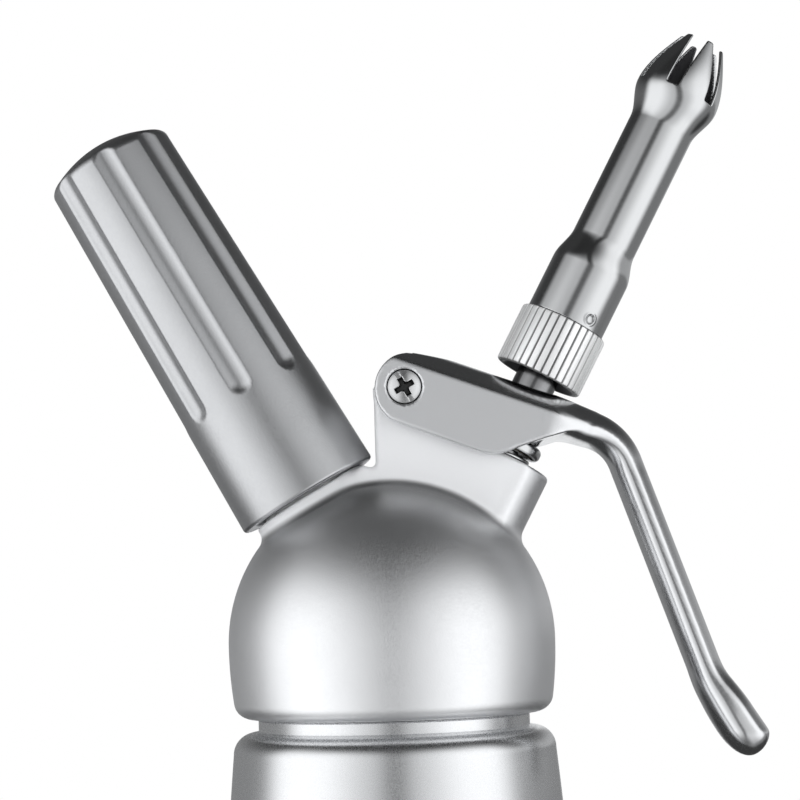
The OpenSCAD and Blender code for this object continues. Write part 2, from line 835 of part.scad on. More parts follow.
module bar() {
    count = len(bar_stations);
    last = (count - 1) * bar_sides;
    points = [for (s = bar_stations) each bar_ring(s)];
    sides = [for (k = [0:count - 2], i = [0:bar_sides - 1])
        let (
            p = k * bar_sides + i,
            q = k * bar_sides + (i + 1) % bar_sides
        )
        each [[p, q, p + bar_sides], [q, q + bar_sides, p + bar_sides]]];
    ends = [for (i = [1:bar_sides - 2])
        each [[0, i + 1, i], [last, last + i, last + i + 1]]];
    polyhedron(points = points, faces = concat(sides, ends), convexity = 4);
}

// Side view of the cheeks and the web that joins them
module cheek_side(w) {
    side_plate(concat(
        arc(cheek_end_x, 0.2, cheek_end_r, 100, 262, 14),
        arc(cheek_low_x, cheek_low + cheek_low_r, cheek_low_r, -90, -42, 6),
        [
            [hollow_end + 0.5, -0.6],
            [elbow_start - 2, 4.5],
            [elbow_start, web_top - 0.4],
            [hollow_end, web_top],
            [cheek_end_r, web_top]
        ]
    ), w);
}

// End view of the lever: flat cheeks and a top whose sides are rounded by r from the angle edge up
module lever_section(r, edge, w, top, l) {
    rotate([90, 0, 90])
        linear_extrude(height = l)
            polygon(concat(
                [[-w / 2, -12]],
                [[w / 2, -12]],
                arc(w / 2 - r * cos(edge), top - r, r, edge, 90, 8),
                arc(-w / 2 + r * cos(edge), top - r, r, 90, 180 - edge, 8)
            ));
}

// Plan view of the lever: straight cheeks that draw in to the handle
module lever_plan() {
    far_w = handle_w + 2;
    translate([0, 0, -12])
        linear_extrude(height = 30)
            polygon([
                [-12, -lever_w / 2],
                [hollow_end + 4, -lever_w / 2],
                [elbow_start + 3, -far_w / 2],
                [elbow_start + 3, far_w / 2],
                [hollow_end + 4, lever_w / 2],
                [-12, lever_w / 2]
            ]);
}

// The round noses inside the cheeks that press on the push ring
module press_noses() {
    on_valve_axis(ring_top + nose_gap + nose_r)
        rotate([90, 0, 0])
            cylinder(r = nose_r, h = 2 * cheek_in + 1, center = true, $fn = small_fn);
}

module lever() {
    color(polished)
    difference() {
        union() {
            on_lever()
                intersection() {
                    cheek_side(lever_w);
                    translate([-12, 0, 0])
                        lever_section(crown_r, crown_edge, lever_w, web_top, 60);
                    lever_plan();
                }
            on_lever()
                bar();
        }
        difference() {
            on_lever() {
                translate([-12, 0, 0])
                    lever_section(0.4, 0, 2 * cheek_in, web_top - web_t, hollow_end + 12);
                translate([-12, -cheek_in, -12])
                    cube([12 + web_start, 2 * cheek_in, 30]);
            }
            press_noses();
        }
        for (x = [-web_swing, 0])
            on_valve_axis(valve_boss_top)
                translate([x, 0, 0])
                    cylinder(r = stem_top_d / 2 + 0.9, h = 40, $fn = round_fn);
        on_pivot()
            rotate([90, 0, 0])
                cylinder(r = barrel_r + run_gap, h = lever_w + 2, center = true, $fn = small_fn);
        on_pivot()
            for (side = [-1, 1])
                translate([0, side * (lever_w / 2 - head_depth / 2 + 0.5), 0])
                    rotate([90, 0, 0])
                        cylinder(d = screw_head_d + 3 * run_gap, h = head_depth + 1 + 2 * run_gap,
                            center = true, $fn = small_fn);
    }
}

module pivot_nut() {
    color(polished)
    on_pivot()
        rotate([-90, 0, 0])
            difference() {
                union() {
                    translate([0, 0, head_depth - lever_w / 2])
                        cylinder(r = barrel_r, h = lever_w - 2 * head_depth, $fn = small_fn);
                    translate([0, 0, lever_w / 2 - head_depth])
                        cylinder(d = screw_head_d, h = head_depth, $fn = small_fn);
                }
                translate([0, 0, -lever_w / 2])
                    cylinder(r = screw_d / 2 + run_gap, h = lever_w * 0.6, $fn = small_fn);
                translate([0, 0, lever_w / 2])
                    cube([0.9, 2 * screw_head_d, 2], center = true);
            }
}

module pivot_screw() {
    color(polished)
    on_pivot()
        rotate([90, 0, 0])
            difference() {
                union() {
                    cylinder(d = screw_d, h = lever_w / 2 - head_depth, $fn = small_fn);
                    translate([0, 0, lever_w / 2 - head_depth])
                        cylinder(d = screw_head_d, h = head_depth, $fn = small_fn);
                }
                for (a = [28, 118])
                    translate([0, 0, lever_w / 2])
                        rotate([0, 0, a])
                            cube([0.6 * screw_head_d, 0.95, 2.4], center = true);
            }
}

module pivot_washers() {
    color(plastic_grey)
    on_pivot()
        for (side = [-1, 1])
            translate([0, side * (lug_w + washer_t) / 2, 0])
                rotate([90, 0, 0])
                    translate([0, 0, -washer_t / 2])
                        ring(lug_r - 1.6, barrel_r + run_gap, washer_t);
}

// Nozzle ------------------------------------------------------------------

seal_lift = 10;
seal_floor = collar_start + seal_lift;
nozzle_seal_h = 1.2;
insert_lip = 4;
insert_start = seal_floor + nozzle_seal_h + face_gap;
insert_end = collar_end + nozzle_base_l - insert_lip;
insert_r = nozzle_base_d / 2 - nozzle_wall - run_gap;
insert_bore_r = stem_bore_r + 1;

module nozzle_seal() {
    color(rubber_grey)
    on_valve_axis(seal_floor + face_gap / 2)
        ring(stem_top_d / 2, stem_bore_r, nozzle_seal_h);
}

module nozzle_collar() {
    r = collar_d / 2;
    color(polished)
    on_valve_axis(collar_start)
        difference() {
            intersection() {
                linear_extrude(height = collar_l)
                    polygon([for (i = [0:rib_count - 1], k = [0:3])
                        let (
                            a = 360 * (i + [0.1, 0.3, 0.7, 0.9][k]) / rib_count,
                            rr = k == 1 || k == 2 ? r : r - rib_h
                        )
                        [rr * cos(a), rr * sin(a)]]);
                rotate_extrude($fn = round_fn)
                    polygon([[0, 0], [r - 0.6, 0], [r + eps, 0.6], [r + eps, collar_l - 0.6],
                        [r - 0.6, collar_l], [0, collar_l]]);
            }
            translate([0, 0, -1])
                cylinder(r = stem_top_d / 2 + ridge_h + thread_gap, h = collar_l + 2, $fn = small_fn);
            translate([0, 0, -eps])
                cylinder(r1 = r - 1.4, r2 = stem_top_d / 2 + 0.5, h = 2.6, $fn = round_fn);
            translate([0, 0, insert_start - collar_start])
                cylinder(r = insert_r + run_gap, h = collar_l, $fn = round_fn);
        }
}

module nozzle_insert() {
    color(plastic_grey)
    on_valve_axis(insert_start)
        difference() {
            cylinder(r = insert_r, h = insert_end - insert_start, $fn = round_fn);
            translate([0, 0, -1])
                cylinder(r = insert_bore_r, h = insert_end - insert_start + 2, $fn = small_fn);
        }
}

// Half section of the nozzle's skin, drawn in by inset: base, step, tube, bulb, prongs
base_r = nozzle_base_d / 2;
tube_r = nozzle_tube_d / 2;
step_l = 7;
tube_start = nozzle_base_l + step_l;
tube_end = tube_start + nozzle_tube_l;
nozzle_l = tube_end + bulb_l;
bulb_mid = tube_end + 0.38 * bulb_l;
slot_foot = bulb_mid + face_gap;
slot_turn = -104;
function nozzle_skin(inset) = concat(
    [[base_r - inset, 0]],
    [for (i = [0:6])
        let (t = i / 6)
        [base_r - inset - (base_r - tube_r) * (1 - cos(180 * t)) / 2, nozzle_base_l + step_l * t]],
    [for (i = [0:6])
        let (t = i / 6)
        [tube_r - inset + (bulb_d / 2 - tube_r) * (1 - cos(180 * t)) / 2,
         tube_end + (bulb_mid - tube_end) * t]],
    [for (i = [1:6])
        let (t = i / 6)
        [mouth_d / 2 - inset + (bulb_d - mouth_d) / 2 * cos(90 * pow(t, 0.9)),
         bulb_mid + (nozzle_l - bulb_mid) * t]]
);

// One slot between two prongs: narrow at its flat bottom, wide at the mouth
module prong_slot() {
    rotate([90, 0, 90])
        linear_extrude(height = bulb_d)
            polygon([
                [-slot_w / 2, slot_foot],
                [slot_w / 2, slot_foot],
                [slot_mouth_w / 2, nozzle_l + 1],
                [-slot_mouth_w / 2, nozzle_l + 1]
            ]);
}

module nozzle_tube() {
    color(polished)
    on_valve_axis(collar_end)
        difference() {
            rotate_extrude($fn = round_fn)
                polygon(concat(nozzle_skin(0), backwards(nozzle_skin(nozzle_wall))));
            for (i = [0:slot_count - 1])
                rotate([0, 0, slot_turn + i * 360 / slot_count])
                    prong_slot();
        }
}

// Parts -------------------------------------------------------------------

bottle();
head_gasket();
head();
charger_valve_body();
piercing_pin();
pin_seal();
non_return_sleeve();
gas_charger();
charger_sleeve();
charger_holder();
stem_bush();
valve_stem();
stem_o_rings();
valve_seal();
valve_nut();
push_ring();
return_spring();
lever();
pivot_nut();
pivot_screw();
pivot_washers();
nozzle_seal();
nozzle_collar();
nozzle_insert();
nozzle_tube();
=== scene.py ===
"""Whipped cream dispenser: bottle, domed valve head, charger holder, lever and star nozzle.

Sizes are in millimetres in the part's own frame: the bottle's base is at the origin, +Z is up,
and the lever and nozzle lean towards +X. Meshes are made in metres.
"""

import math

import bmesh
import bpy
import numpy as np
from mathutils import Matrix, Vector


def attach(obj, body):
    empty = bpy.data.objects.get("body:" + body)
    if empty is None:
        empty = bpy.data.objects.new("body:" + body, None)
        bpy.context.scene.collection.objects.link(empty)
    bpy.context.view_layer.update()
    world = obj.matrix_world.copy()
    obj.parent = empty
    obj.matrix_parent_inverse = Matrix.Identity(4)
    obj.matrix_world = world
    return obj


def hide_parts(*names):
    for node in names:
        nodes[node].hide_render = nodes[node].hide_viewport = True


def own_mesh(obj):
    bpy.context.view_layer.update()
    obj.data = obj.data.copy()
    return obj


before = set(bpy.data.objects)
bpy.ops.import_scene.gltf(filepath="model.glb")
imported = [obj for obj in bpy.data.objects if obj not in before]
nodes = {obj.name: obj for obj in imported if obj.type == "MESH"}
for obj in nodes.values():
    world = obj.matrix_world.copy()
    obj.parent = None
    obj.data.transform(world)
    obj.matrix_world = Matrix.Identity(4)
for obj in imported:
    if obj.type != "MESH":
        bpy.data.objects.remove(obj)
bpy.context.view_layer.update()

MM = 0.001

# ---------------------------------------------------------------- sizes

RIM_Z = 187.0
DOME_Z = 202.4
DOME_R = 34.7
RIM_R = 33.3
SKIRT_R = ((DOME_R - RIM_R) + (DOME_Z - RIM_Z) ** 2 / (DOME_R - RIM_R)) / 2
SEAT_Z = 201.6
BORE_R = 26.9
CHAMBER_R = 22.5

SHOULDER_Z = 184.0
SHOULDER_R = 33.7
BODY_R = 39.0
TAPER_Z = 75.0

HOLDER_X, HOLDER_LEAN = 0.9, -29.5
HOLDER_BOSS_R, HOLDER_BOSS_TOP = 13.1, 35.7
STUB_R, STUB_TOP = 10.6, 49.7
HOLDER_START = 36.2
HOLDER_L = 88.5
HOLDER_MOUTH_R, HOLDER_TOP_R = 15.85, 14.3

VALVE_X, VALVE_LEAN = 3.2, 28.2
TOWER_R, TOWER_TOP = 11.8, 44.4
RING_FLOOR, RING_H = 46.1, 3.0
SPRING_FLOOR = 36.9
COLLAR_START, COLLAR_L, COLLAR_R = 63.0, 13.2, 9.75
COLLAR_END = COLLAR_START + COLLAR_L

PIVOT_X, PIVOT_Z = 4.2, 255.5
PIVOT_BORE_R = 2.95
LEVER_SLOPE = 20.5
LEVER_W = 27.8
CHEEK_T = 2.9
LUG_W = 21.0
WEB_TOP, WEB_T = 9.3, 2.8


def leaning(x, z, lean, along=0.0):
    """A frame at (x, 0, z) whose Z leans from the vertical towards +X, moved along that Z."""
    turn = Matrix.Rotation(math.radians(lean), 4, "Y")
    return Matrix.Translation((x, 0, z)) @ turn @ Matrix.Translation((0, 0, along))


def holder_frame(along):
    """The frame on the holder's axis, that far up from the dome's middle."""
    return leaning(HOLDER_X, DOME_Z, HOLDER_LEAN, along)


def valve_frame(along):
    """The frame on the valve's axis, that far up from the dome's middle."""
    return leaning(VALVE_X, DOME_Z, VALVE_LEAN, along)


UPRIGHT = Matrix.Identity(4)
HOLDER = holder_frame(0)
VALVE = valve_frame(0)
NOZZLE = valve_frame(COLLAR_END)
LEVER = leaning(PIVOT_X, PIVOT_Z, LEVER_SLOPE)
PIVOT = leaning(PIVOT_X, PIVOT_Z, 0)


def within(p, home):
    """Points p of the part's frame, as seen in the frame home."""
    m = np.array(home.inverted())
    return p @ m[:3, :3].T + m[:3, 3]


def polar(p):
    """How far points are from Z, and how far up it."""
    return np.hypot(p[:, 0], p[:, 1]), p[:, 2]


# ---------------------------------------------------------------- distance fields


def both(a, b, r):
    """Where two solids overlap, with the edge between their surfaces rounded by r."""
    return np.minimum(np.maximum(a, b), -r) + np.hypot(np.maximum(a + r, 0), np.maximum(b + r, 0))


def joined(a, b, r):
    """Two solids in one, with a fillet of radius r where they meet."""
    return np.maximum(np.minimum(a, b), r) - np.hypot(np.maximum(r - a, 0), np.maximum(r - b, 0))


def cut(a, b, r=0.25):
    """Solid a without solid b, its new edges rounded by r."""
    return both(a, -b, r)


def rod(p, r, low, high):
    """A round rod along Z."""
    out, t = polar(p)
    return np.maximum(out - r, np.abs(t - (low + high) / 2) - (high - low) / 2)


def outline(x, z, pts):
    """Distance of (x, z) from a closed outline, negative inside."""
    far = np.full(x.shape, np.inf)
    side = np.ones(x.shape)
    for (x0, z0), (x1, z1) in zip(pts, pts[1:] + pts[:1]):
        ex, ez = x1 - x0, z1 - z0
        wx, wz = x - x0, z - z0
        t = np.clip((wx * ex + wz * ez) / (ex * ex + ez * ez), 0, 1)
        far = np.minimum(far, (wx - t * ex) ** 2 + (wz - t * ez) ** 2)
        above, below = z >= z0, z < z1
        left = ex * wz > ez * wx
        flip = (above & below & left) | (~above & ~below & ~left)
        side = np.where(flip, -side, side)
    return side * np.sqrt(far)


def eased(s, *keys):
    """A size that runs smoothly from key to key, each a (place, size)."""
    size = np.full(s.shape, float(keys[0][1]))
    for (s0, v0), (s1, v1) in zip(keys, keys[1:]):
        t = np.clip((s - s0) / (s1 - s0), 0, 1)
        size += (v1 - v0) * t * t * (3 - 2 * t)
    return size


def arc(cx, cz, r, a0, a1, n=24):
    """Points of an arc round (cx, cz), from angle a0 to angle a1 in degrees."""
    turn = [math.radians(a0 + (a1 - a0) * i / n) for i in range(n + 1)]
    return [(cx + r * math.cos(a), cz + r * math.sin(a)) for a in turn]


def sector(p, count, start):
    """The angle of points about Z from the middle of their own sector of count equal ones."""
    size = 2 * math.pi / count
    return (np.arctan2(p[:, 1], p[:, 0]) - start + size / 2) % size - size / 2


# ---------------------------------------------------------------- meshes


def new_piece(name, points, faces, home, body, material, replaces, normals=None):
    """A mesh piece from points in millimetres in the frame home, riding on a body."""
    m = np.array(home)
    places = (np.asarray(points) @ m[:3, :3].T + m[:3, 3]) * MM
    mesh = bpy.data.meshes.new(name)
    mesh.from_pydata(places.tolist(), [], [tuple(f) for f in faces])
    mesh.shade_smooth()
    if normals is not None:
        mesh.normals_split_custom_set_from_vertices((normals @ m[:3, :3].T).tolist())
    mesh.materials.append(material)
    piece = bpy.data.objects.new(name, mesh)
    bpy.context.scene.collection.objects.link(piece)
    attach(piece, body)
    if replaces:
        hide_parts(*replaces)
    return piece


def slope(field, p, h=0.02):
    """Gradient of a field at the points p, measured over h each way."""
    steps = np.eye(3) * h
    return np.stack([(field(p + s) - field(p - s)) / (2 * h) for s in steps], axis=1)


PULLS = 3
# A flat spot of a field must not throw its points far, and no gradient is divided by nothing.
LEAST_SLOPE, SMALL = 0.05, 1e-6


def surface(field, low, high, step):
    """Points, faces and normals of the surface where a field is zero, as a net drawn onto it."""
    axes = [np.arange(a, b + step, step) for a, b in zip(low, high)]
    grid = np.stack(np.meshgrid(*axes, indexing="ij"), axis=-1)
    d = np.concatenate([field(part.reshape(-1, 3)) for part in grid]).reshape(grid.shape[:3])
    solid = d < 0
    cells = tuple(n - 1 for n in d.shape)

    def corner(values, at):
        return values[tuple(slice(a, a + n) for a, n in zip(at, cells))]

    place = np.zeros(cells + (3,))
    hits = np.zeros(cells)
    unit = np.eye(3, dtype=int)
    for axis in range(3):
        for b in (0, 1):
            for c in (0, 1):
                at = b * unit[(axis + 1) % 3] + c * unit[(axis + 2) % 3]
                d0, d1 = corner(d, at), corner(d, at + unit[axis])
                crossed = (d0 < 0) != (d1 < 0)
                t = np.where(crossed, d0 / np.where(crossed, d0 - d1, 1), 0)
                place += crossed[..., None] * (at + t[..., None] * unit[axis])
                hits += crossed
    cut_cells = hits > 0
    number = np.full(cells, -1)
    number[cut_cells] = np.arange(cut_cells.sum())
    middles = place[cut_cells] / hits[cut_cells][:, None]
    points = np.array(low) + step * (np.argwhere(cut_cells) + middles)

    faces = []
    for axis in range(3):
        b, c = unit[(axis + 1) % 3], unit[(axis + 2) % 3]
        ahead = np.roll(solid, -1, axis=axis)
        edges = np.argwhere(solid != ahead)
        inner = np.all((edges - b - c >= 0) & (edges < cells), axis=1)
        edges = edges[inner]
        quad = [number[tuple(e.T)] for e in (edges, edges - b, edges - b - c, edges - c)]
        quad = np.stack(quad, axis=1)
        out = solid[tuple(edges.T)]
        faces.append(np.where(out[:, None], quad, quad[:, ::-1]))
    faces = np.concatenate(faces)

    for _ in range(PULLS):
        g = slope(field, points)
        pull = field(points)[:, None] * g / np.maximum((g * g).sum(axis=1), LEAST_SLOPE)[:, None]
        points = points - np.clip(pull, -step / 2, step / 2)
    g = slope(field, points)
    return points, faces, g / np.maximum(np.linalg.norm(g, axis=1), SMALL)[:, None]


def carved(name, field, low, high, step, home, body, material, replaces=()):
    """A piece whose surface is where a field is zero, looked for in a box at that step."""
    points, faces, normals = surface(field, low, high, step * (1))
    return new_piece(name, points, faces, home, body, material, replaces, normals)


CREASE = math.radians(35)


def turned(name, profile, home, body, material, replaces=(), sides=144, ribs=None):
    """A piece turned about Z from a closed profile of (radius, height) points. Ribs is a function
    of the angle and height that gives how far the surface is set in."""
    r, z = np.array(profile).T
    turn = np.arange(sides) * 2 * np.pi / sides
    radius = np.repeat(r[None, :], sides, axis=0)
    if ribs is not None:
        radius = radius - ribs(turn[:, None], radius, z[None, :])
    points = np.stack([radius * np.cos(turn)[:, None], radius * np.sin(turn)[:, None],
                       np.repeat(z[None, :], sides, axis=0)], axis=-1).reshape(-1, 3)
    n = len(profile)
    i, k = np.meshgrid(np.arange(sides), np.arange(n), indexing="ij")
    j, m = (i + 1) % sides, (k + 1) % n
    faces = np.stack([i * n + k, j * n + k, j * n + m, i * n + m], axis=-1).reshape(-1, 4)
    piece = new_piece(name, points, faces, home, body, material, replaces)
    piece.data.set_sharp_from_angle(angle=CREASE)
    return piece


# ---------------------------------------------------------------- materials


def shade(tree, kind, sockets, **settings):
    """A shader node with its settings made, and its sockets set to values or linked to outputs."""
    node = tree.nodes.new("ShaderNode" + kind)
    for name, value in settings.items():
        setattr(node, name, value)
    for key, value in sockets.items():
        if isinstance(value, bpy.types.NodeSocket):
            tree.links.new(value, node.inputs[key])
        else:
            node.inputs[key].default_value = value
    return node


def new_material(name):
    """A material with nodes, and its tree."""
    mat = bpy.data.materials.new(name)
    mat.use_nodes = True
    return mat, mat.node_tree


def here(tree):
    """The shaded point in the object's coordinates."""
    return shade(tree, "TexCoord", {}).outputs["Object"]


def noise(tree, size, detail):
    """Noise between 0 and 1 whose lumps are about that many millimetres wide."""
    sockets = {"Vector": here(tree), "Scale": 1 / (size * MM), "Detail": detail}
    return shade(tree, "TexNoise", sockets).outputs["Fac"]


def ranged(tree, value, low, high):
    """Noise, which is seldom outside 0.3 to 0.7, spread over the range from low to high."""
    sockets = {"Value": value, "From Min": 0.3, "From Max": 0.7, "To Min": low, "To Max": high}
    return shade(tree, "MapRange", sockets).outputs["Result"]


def maths(tree, operation, *values):
    """The result of a maths node on values or outputs."""
    return shade(tree, "Math", dict(enumerate(values)), operation=operation).outputs[0]


def product(tree, first, *others):
    """All the values or outputs multiplied."""
    for other in others:
        first = maths(tree, "MULTIPLY", first, other)
    return first


def rising(tree, value, low, high):
    """A smooth step from 0 at low to 1 at high."""
    sockets = {"Value": value, "From Min": low, "From Max": high}
    return shade(tree, "MapRange", sockets, interpolation_type="SMOOTHSTEP").outputs["Result"]


def falling(tree, value, low, high):
    """A smooth step from 1 at low to 0 at high."""
    return maths(tree, "SUBTRACT", 1.0, rising(tree, value, low, high))


def blend(tree, share, a, b):
    """Colour a where share is 0 and colour b where it is 1."""
    return shade(tree, "Mix", {"Factor": share, "A": a, "B": b}, data_type="RGBA").outputs["Result"]


TONE_LUMP, TONE_DETAIL = 16, 3
GRAIN_DETAIL, ROUGHNESS_DRIFT = 2, 0.15


def finish(name, colour, metallic, rough, patchy=0.02, grain=0.4, relief=0.0, zones=()):
    """A material whose tone drifts by the share patchy, with a grain of that many millimetres that
    varies its roughness and, where relief is above 0, stands out from the surface. A zone is an
    area with other values, drawn from the object's coordinates in metres: (function giving 0 to 1,
    roughness, share of the colour's tone, metallic)."""
    mat, tree = new_material(name)
    shader = tree.nodes["Principled BSDF"]
    darker = [c * (1 - patchy) for c in colour]
    lighter = [min(c * (1 + patchy), 1) for c in colour]
    lumps = ranged(tree, noise(tree, TONE_LUMP, TONE_DETAIL), 0, 1)
    tone = blend(tree, lumps, (*darker, 1), (*lighter, 1))
    fine = noise(tree, grain, GRAIN_DETAIL)
    roughness = ranged(tree, fine, rough * (1 - ROUGHNESS_DRIFT), rough * (1 + ROUGHNESS_DRIFT))
    shader.inputs["Metallic"].default_value = metallic
    for area, zone_rough, zone_tone, zone_metallic in zones:
        share = area(tree, *shade(tree, "SeparateXYZ", {0: here(tree)}).outputs)
        roughness = maths(tree, "ADD", roughness, product(tree, share, zone_rough - rough))
        tone = blend(tree, share, tone, (*[c * zone_tone for c in colour], 1))
        if zone_metallic != metallic:
            metal = maths(tree, "ADD", product(tree, share, zone_metallic - metallic), metallic)
            tree.links.new(metal, shader.inputs["Metallic"])
    tree.links.new(tone, shader.inputs["Base Color"])
    tree.links.new(roughness, shader.inputs["Roughness"])
    if relief:
        bump = shade(tree, "Bump", {"Height": fine, "Strength": relief, "Distance": grain * MM / 4})
        tree.links.new(bump.outputs["Normal"], shader.inputs["Normal"])
    return mat


def from_point(tree, x, y, z, centre_x):
    """The vector to the surface from the point at (centre_x, 0, DOME_Z)."""
    aside = maths(tree, "SUBTRACT", x, centre_x * MM)
    above = maths(tree, "SUBTRACT", z, DOME_Z * MM)
    return shade(tree, "CombineXYZ", {0: aside, 1: y, 2: above}).outputs[0]


def distance(tree, vector):
    """The length of a vector."""
    return shade(tree, "VectorMath", {0: vector}, operation="LENGTH").outputs["Value"]


def off_the_dome(tree, x, y, z):
    """1 on what stands up from the head's dome, 0 on the dome and its skirt."""
    out = distance(tree, from_point(tree, x, y, z, 0))
    out = rising(tree, out, (DOME_R + 0.1) * MM, (DOME_R + 1.3) * MM)
    return product(tree, out, rising(tree, z, (DOME_Z + 5.6) * MM, (DOME_Z + 11.6) * MM))


def lug_walls(tree, x, y, z):
    """What stands up from the dome, but for the valve tower's round right side. There the finish is
    rougher and less metallic, and the tone is painted lighter as painted light.
    """
    lean = math.radians(VALVE_LEAN)
    to_right = product(tree, maths(tree, "SUBTRACT", x, VALVE_X * MM), math.cos(lean))
    up = product(tree, maths(tree, "SUBTRACT", z, DOME_Z * MM), math.sin(lean))
    flat = falling(tree, maths(tree, "SUBTRACT", to_right, up), 3 * MM, 8 * MM)
    return product(tree, off_the_dome(tree, x, y, z), flat)


def below_the_lug(tree, x, y, z):
    """The dome's crown beside the lug and tower, where their shade is painted into the tone as painted
    shade.
    """
    near = falling(tree, maths(tree, "ABSOLUTE", y), 14 * MM, 23 * MM)
    on_dome = maths(tree, "SUBTRACT", 1.0, off_the_dome(tree, x, y, z))
    return product(tree, near, on_dome, rising(tree, z, (DOME_Z + 19.6) * MM, (DOME_Z + 27.6) * MM))


def collar_grooves(tree, x, y, z):
    """The floors of the grooves round the collar, painted dark as painted shade."""
    lean = math.radians(VALVE_LEAN)
    sockets = {0: from_point(tree, x, y, z, VALVE_X), 1: (math.sin(lean), 0, math.cos(lean))}
    across = shade(tree, "VectorMath", sockets, operation="CROSS_PRODUCT").outputs[0]
    return falling(tree, distance(tree, across), (COLLAR_R - 0.4) * MM, (COLLAR_R - 0.07) * MM)


def cheek_faces(tree, x, y, z):
    """The lever's flat sides: rougher, and with their tone painted lighter as painted light."""
    return rising(tree, maths(tree, "ABSOLUTE", y), (LEVER_W / 2 - 0.45) * MM, (LEVER_W / 2 - 0.15) * MM)


def screw_recess(tree, x, y, z):
    """What lies below the screws' heads, painted near-black as painted shade."""
    return falling(tree, maths(tree, "ABSOLUTE", y), (LEVER_W / 2 - 0.8) * MM, (LEVER_W / 2 - 0.3) * MM)


# The zones paint light and shade on one casting: the lug's walls get a lighter tone as painted light,
# and the dome's crown beside the lug gets a dark tone as painted shade.
SATIN = finish("bead_blasted_aluminium", (0.90, 0.905, 0.915), 1.0, 0.42, grain=0.35, relief=0.15,
               zones=[(lug_walls, 0.8, 1.06, 0.8), (below_the_lug, 0.42, 0.28, 1.0)])
BRUSHED = finish("spun_aluminium", (0.79, 0.795, 0.805), 1.0, 0.28, grain=0.35)
ANODISED = finish("anodised_aluminium", (0.58, 0.585, 0.595), 1.0, 0.36, 0.03, 0.45, 0.2)
# The cheeks' flat sides are rougher, and their tone is painted lighter as painted light.
POLISHED = finish("polished_aluminium", (0.74, 0.745, 0.755), 1.0, 0.2, 0.01, 0.6, 0.02,
                  [(cheek_faces, 0.46, 1.13, 1.0)])
# The groove floors are painted dark as painted shade.
KNURLED = finish("knurled_aluminium", (0.84, 0.845, 0.85), 0.6, 0.4, 0.03, 0.5, 0.05,
                 [(collar_grooves, 0.4, 0.35, 0.6)])
STEEL = finish("bright_steel", (0.62, 0.625, 0.63), 1.0, 0.15, 0.01, 0.8, 0.01)
# The valve stem's steel is painted dark as painted shade, the shade of the gap between collar and lever.
STEM = finish("stem_steel_painted_shade", (0.30, 0.30, 0.305), 1.0, 0.2, 0.03, 0.8, 0.02)
# Near-black steel for the inner faces of the nozzle and collar, as painted shade.
INSIDE = finish("shaded_steel", (0.10, 0.10, 0.105), 1.0, 0.4, 0.05, 0.8, 0.02)
# Below the heads' faces the screws are painted near-black as painted shade.
SCREWS = finish("screw_steel", (0.90, 0.905, 0.91), 1.0, 0.2, relief=0.03,
                zones=[(screw_recess, 0.5, 0.08, 1.0)])
BRASS = finish("turned_brass", (0.78, 0.60, 0.30), 1.0, 0.25, 0.04, 0.5, 0.05)
RUBBER = finish("seal_rubber", (0.06, 0.06, 0.065), 0.0, 0.55, 0.08, 0.5, 0.1)
PLASTIC = finish("moulded_plastic", (0.42, 0.43, 0.45), 0.0, 0.4, 0.03, 0.6, 0.05)


# ---------------------------------------------------------------- head

# Side views of the lug and of the web behind it, from the rim up.
LUG = [(-2.3, 33.4), (-2.3, 68.5), (13.4, 63.6), (14.2, 59.2), (19.4, 56.3), (12.7, 33)]
WEB = [(-13, 42.5), (-9, 50.2), (-5, 52.5), (-1, 51.3), (4.2, 42.5)]
LUG_R = 6.2
# How far up the leaning axes the boss, stub and bores start, inside the dome.
ROOT = 10
STUB_THREAD_H, STUB_THREAD_START, STUB_THREAD_CREST = 0.6, 42.5, 47.7
# Bores as (radius, start, end) up the leaning axes.
STUB_BORES = (4.0, ROOT, 50), (5.6, 43.7, 60)
TOWER_BORES = (8.0, ROOT, 24), (5.0, ROOT, 50)
BUSH_BORE = (9.0, 35.4, 60)


def head_field(p):
    """The head: dome, holder boss and stub, valve tower, lug, and its bores."""
    x, y, z = p.T
    r = np.hypot(x, y)
    ball = np.sqrt(r * r + (z - DOME_Z) ** 2) - DOME_R
    skirt = np.hypot(r - (DOME_R - SKIRT_R), z - DOME_Z) - SKIRT_R
    dome = both(np.where(z > DOME_Z, ball, skirt), RIM_Z - z, 3.0)

    h = within(p, HOLDER)
    h_r, h_t = polar(h)
    boss = np.maximum(both(h_r - HOLDER_BOSS_R, h_t - HOLDER_BOSS_TOP, 0.6), ROOT - h_t)
    crests = np.clip(np.cos(np.pi * (h_t - STUB_THREAD_CREST)), 0, 1)
    thread = STUB_THREAD_H * crests * (h_t > STUB_THREAD_START)
    stub = np.maximum(both(h_r - STUB_R - thread, h_t - STUB_TOP, 0.5), ROOT - h_t)

    v = within(p, VALVE)
    v_r, v_t = polar(v)
    tower = both(v_r - TOWER_R, v_t - TOWER_TOP, 0.8)
    pivot = np.hypot(x - PIVOT_X, z - PIVOT_Z)
    lug = joined(outline(x, z - RIM_Z, LUG), pivot - LUG_R, 1)
    lug = joined(lug, outline(x, z - RIM_Z, WEB), 1.5)
    upper = both(joined(tower, lug, 3), np.abs(y) - LUG_W / 2, 1.3)

    solid = joined(joined(dome, boss, 1.6), upper, 1.8)
    solid = np.minimum(solid, stub)
    solid = cut(solid, rod(p, BORE_R, RIM_Z - 9, SEAT_Z), 0.8)
    chamber = np.maximum(np.sqrt(r * r + (z - SEAT_Z) ** 2) - CHAMBER_R, SEAT_Z - 1 - z)
    solid = cut(solid, chamber)
    for radius, start, end in STUB_BORES:
        solid = cut(solid, rod(h, radius, start, end))
    for radius, start, end in TOWER_BORES:
        solid = cut(solid, rod(v, radius, start, end))
    solid = cut(solid, rod(v, *BUSH_BORE), 0.4)
    return cut(solid, pivot - PIVOT_BORE_R)


# ---------------------------------------------------------------- lever

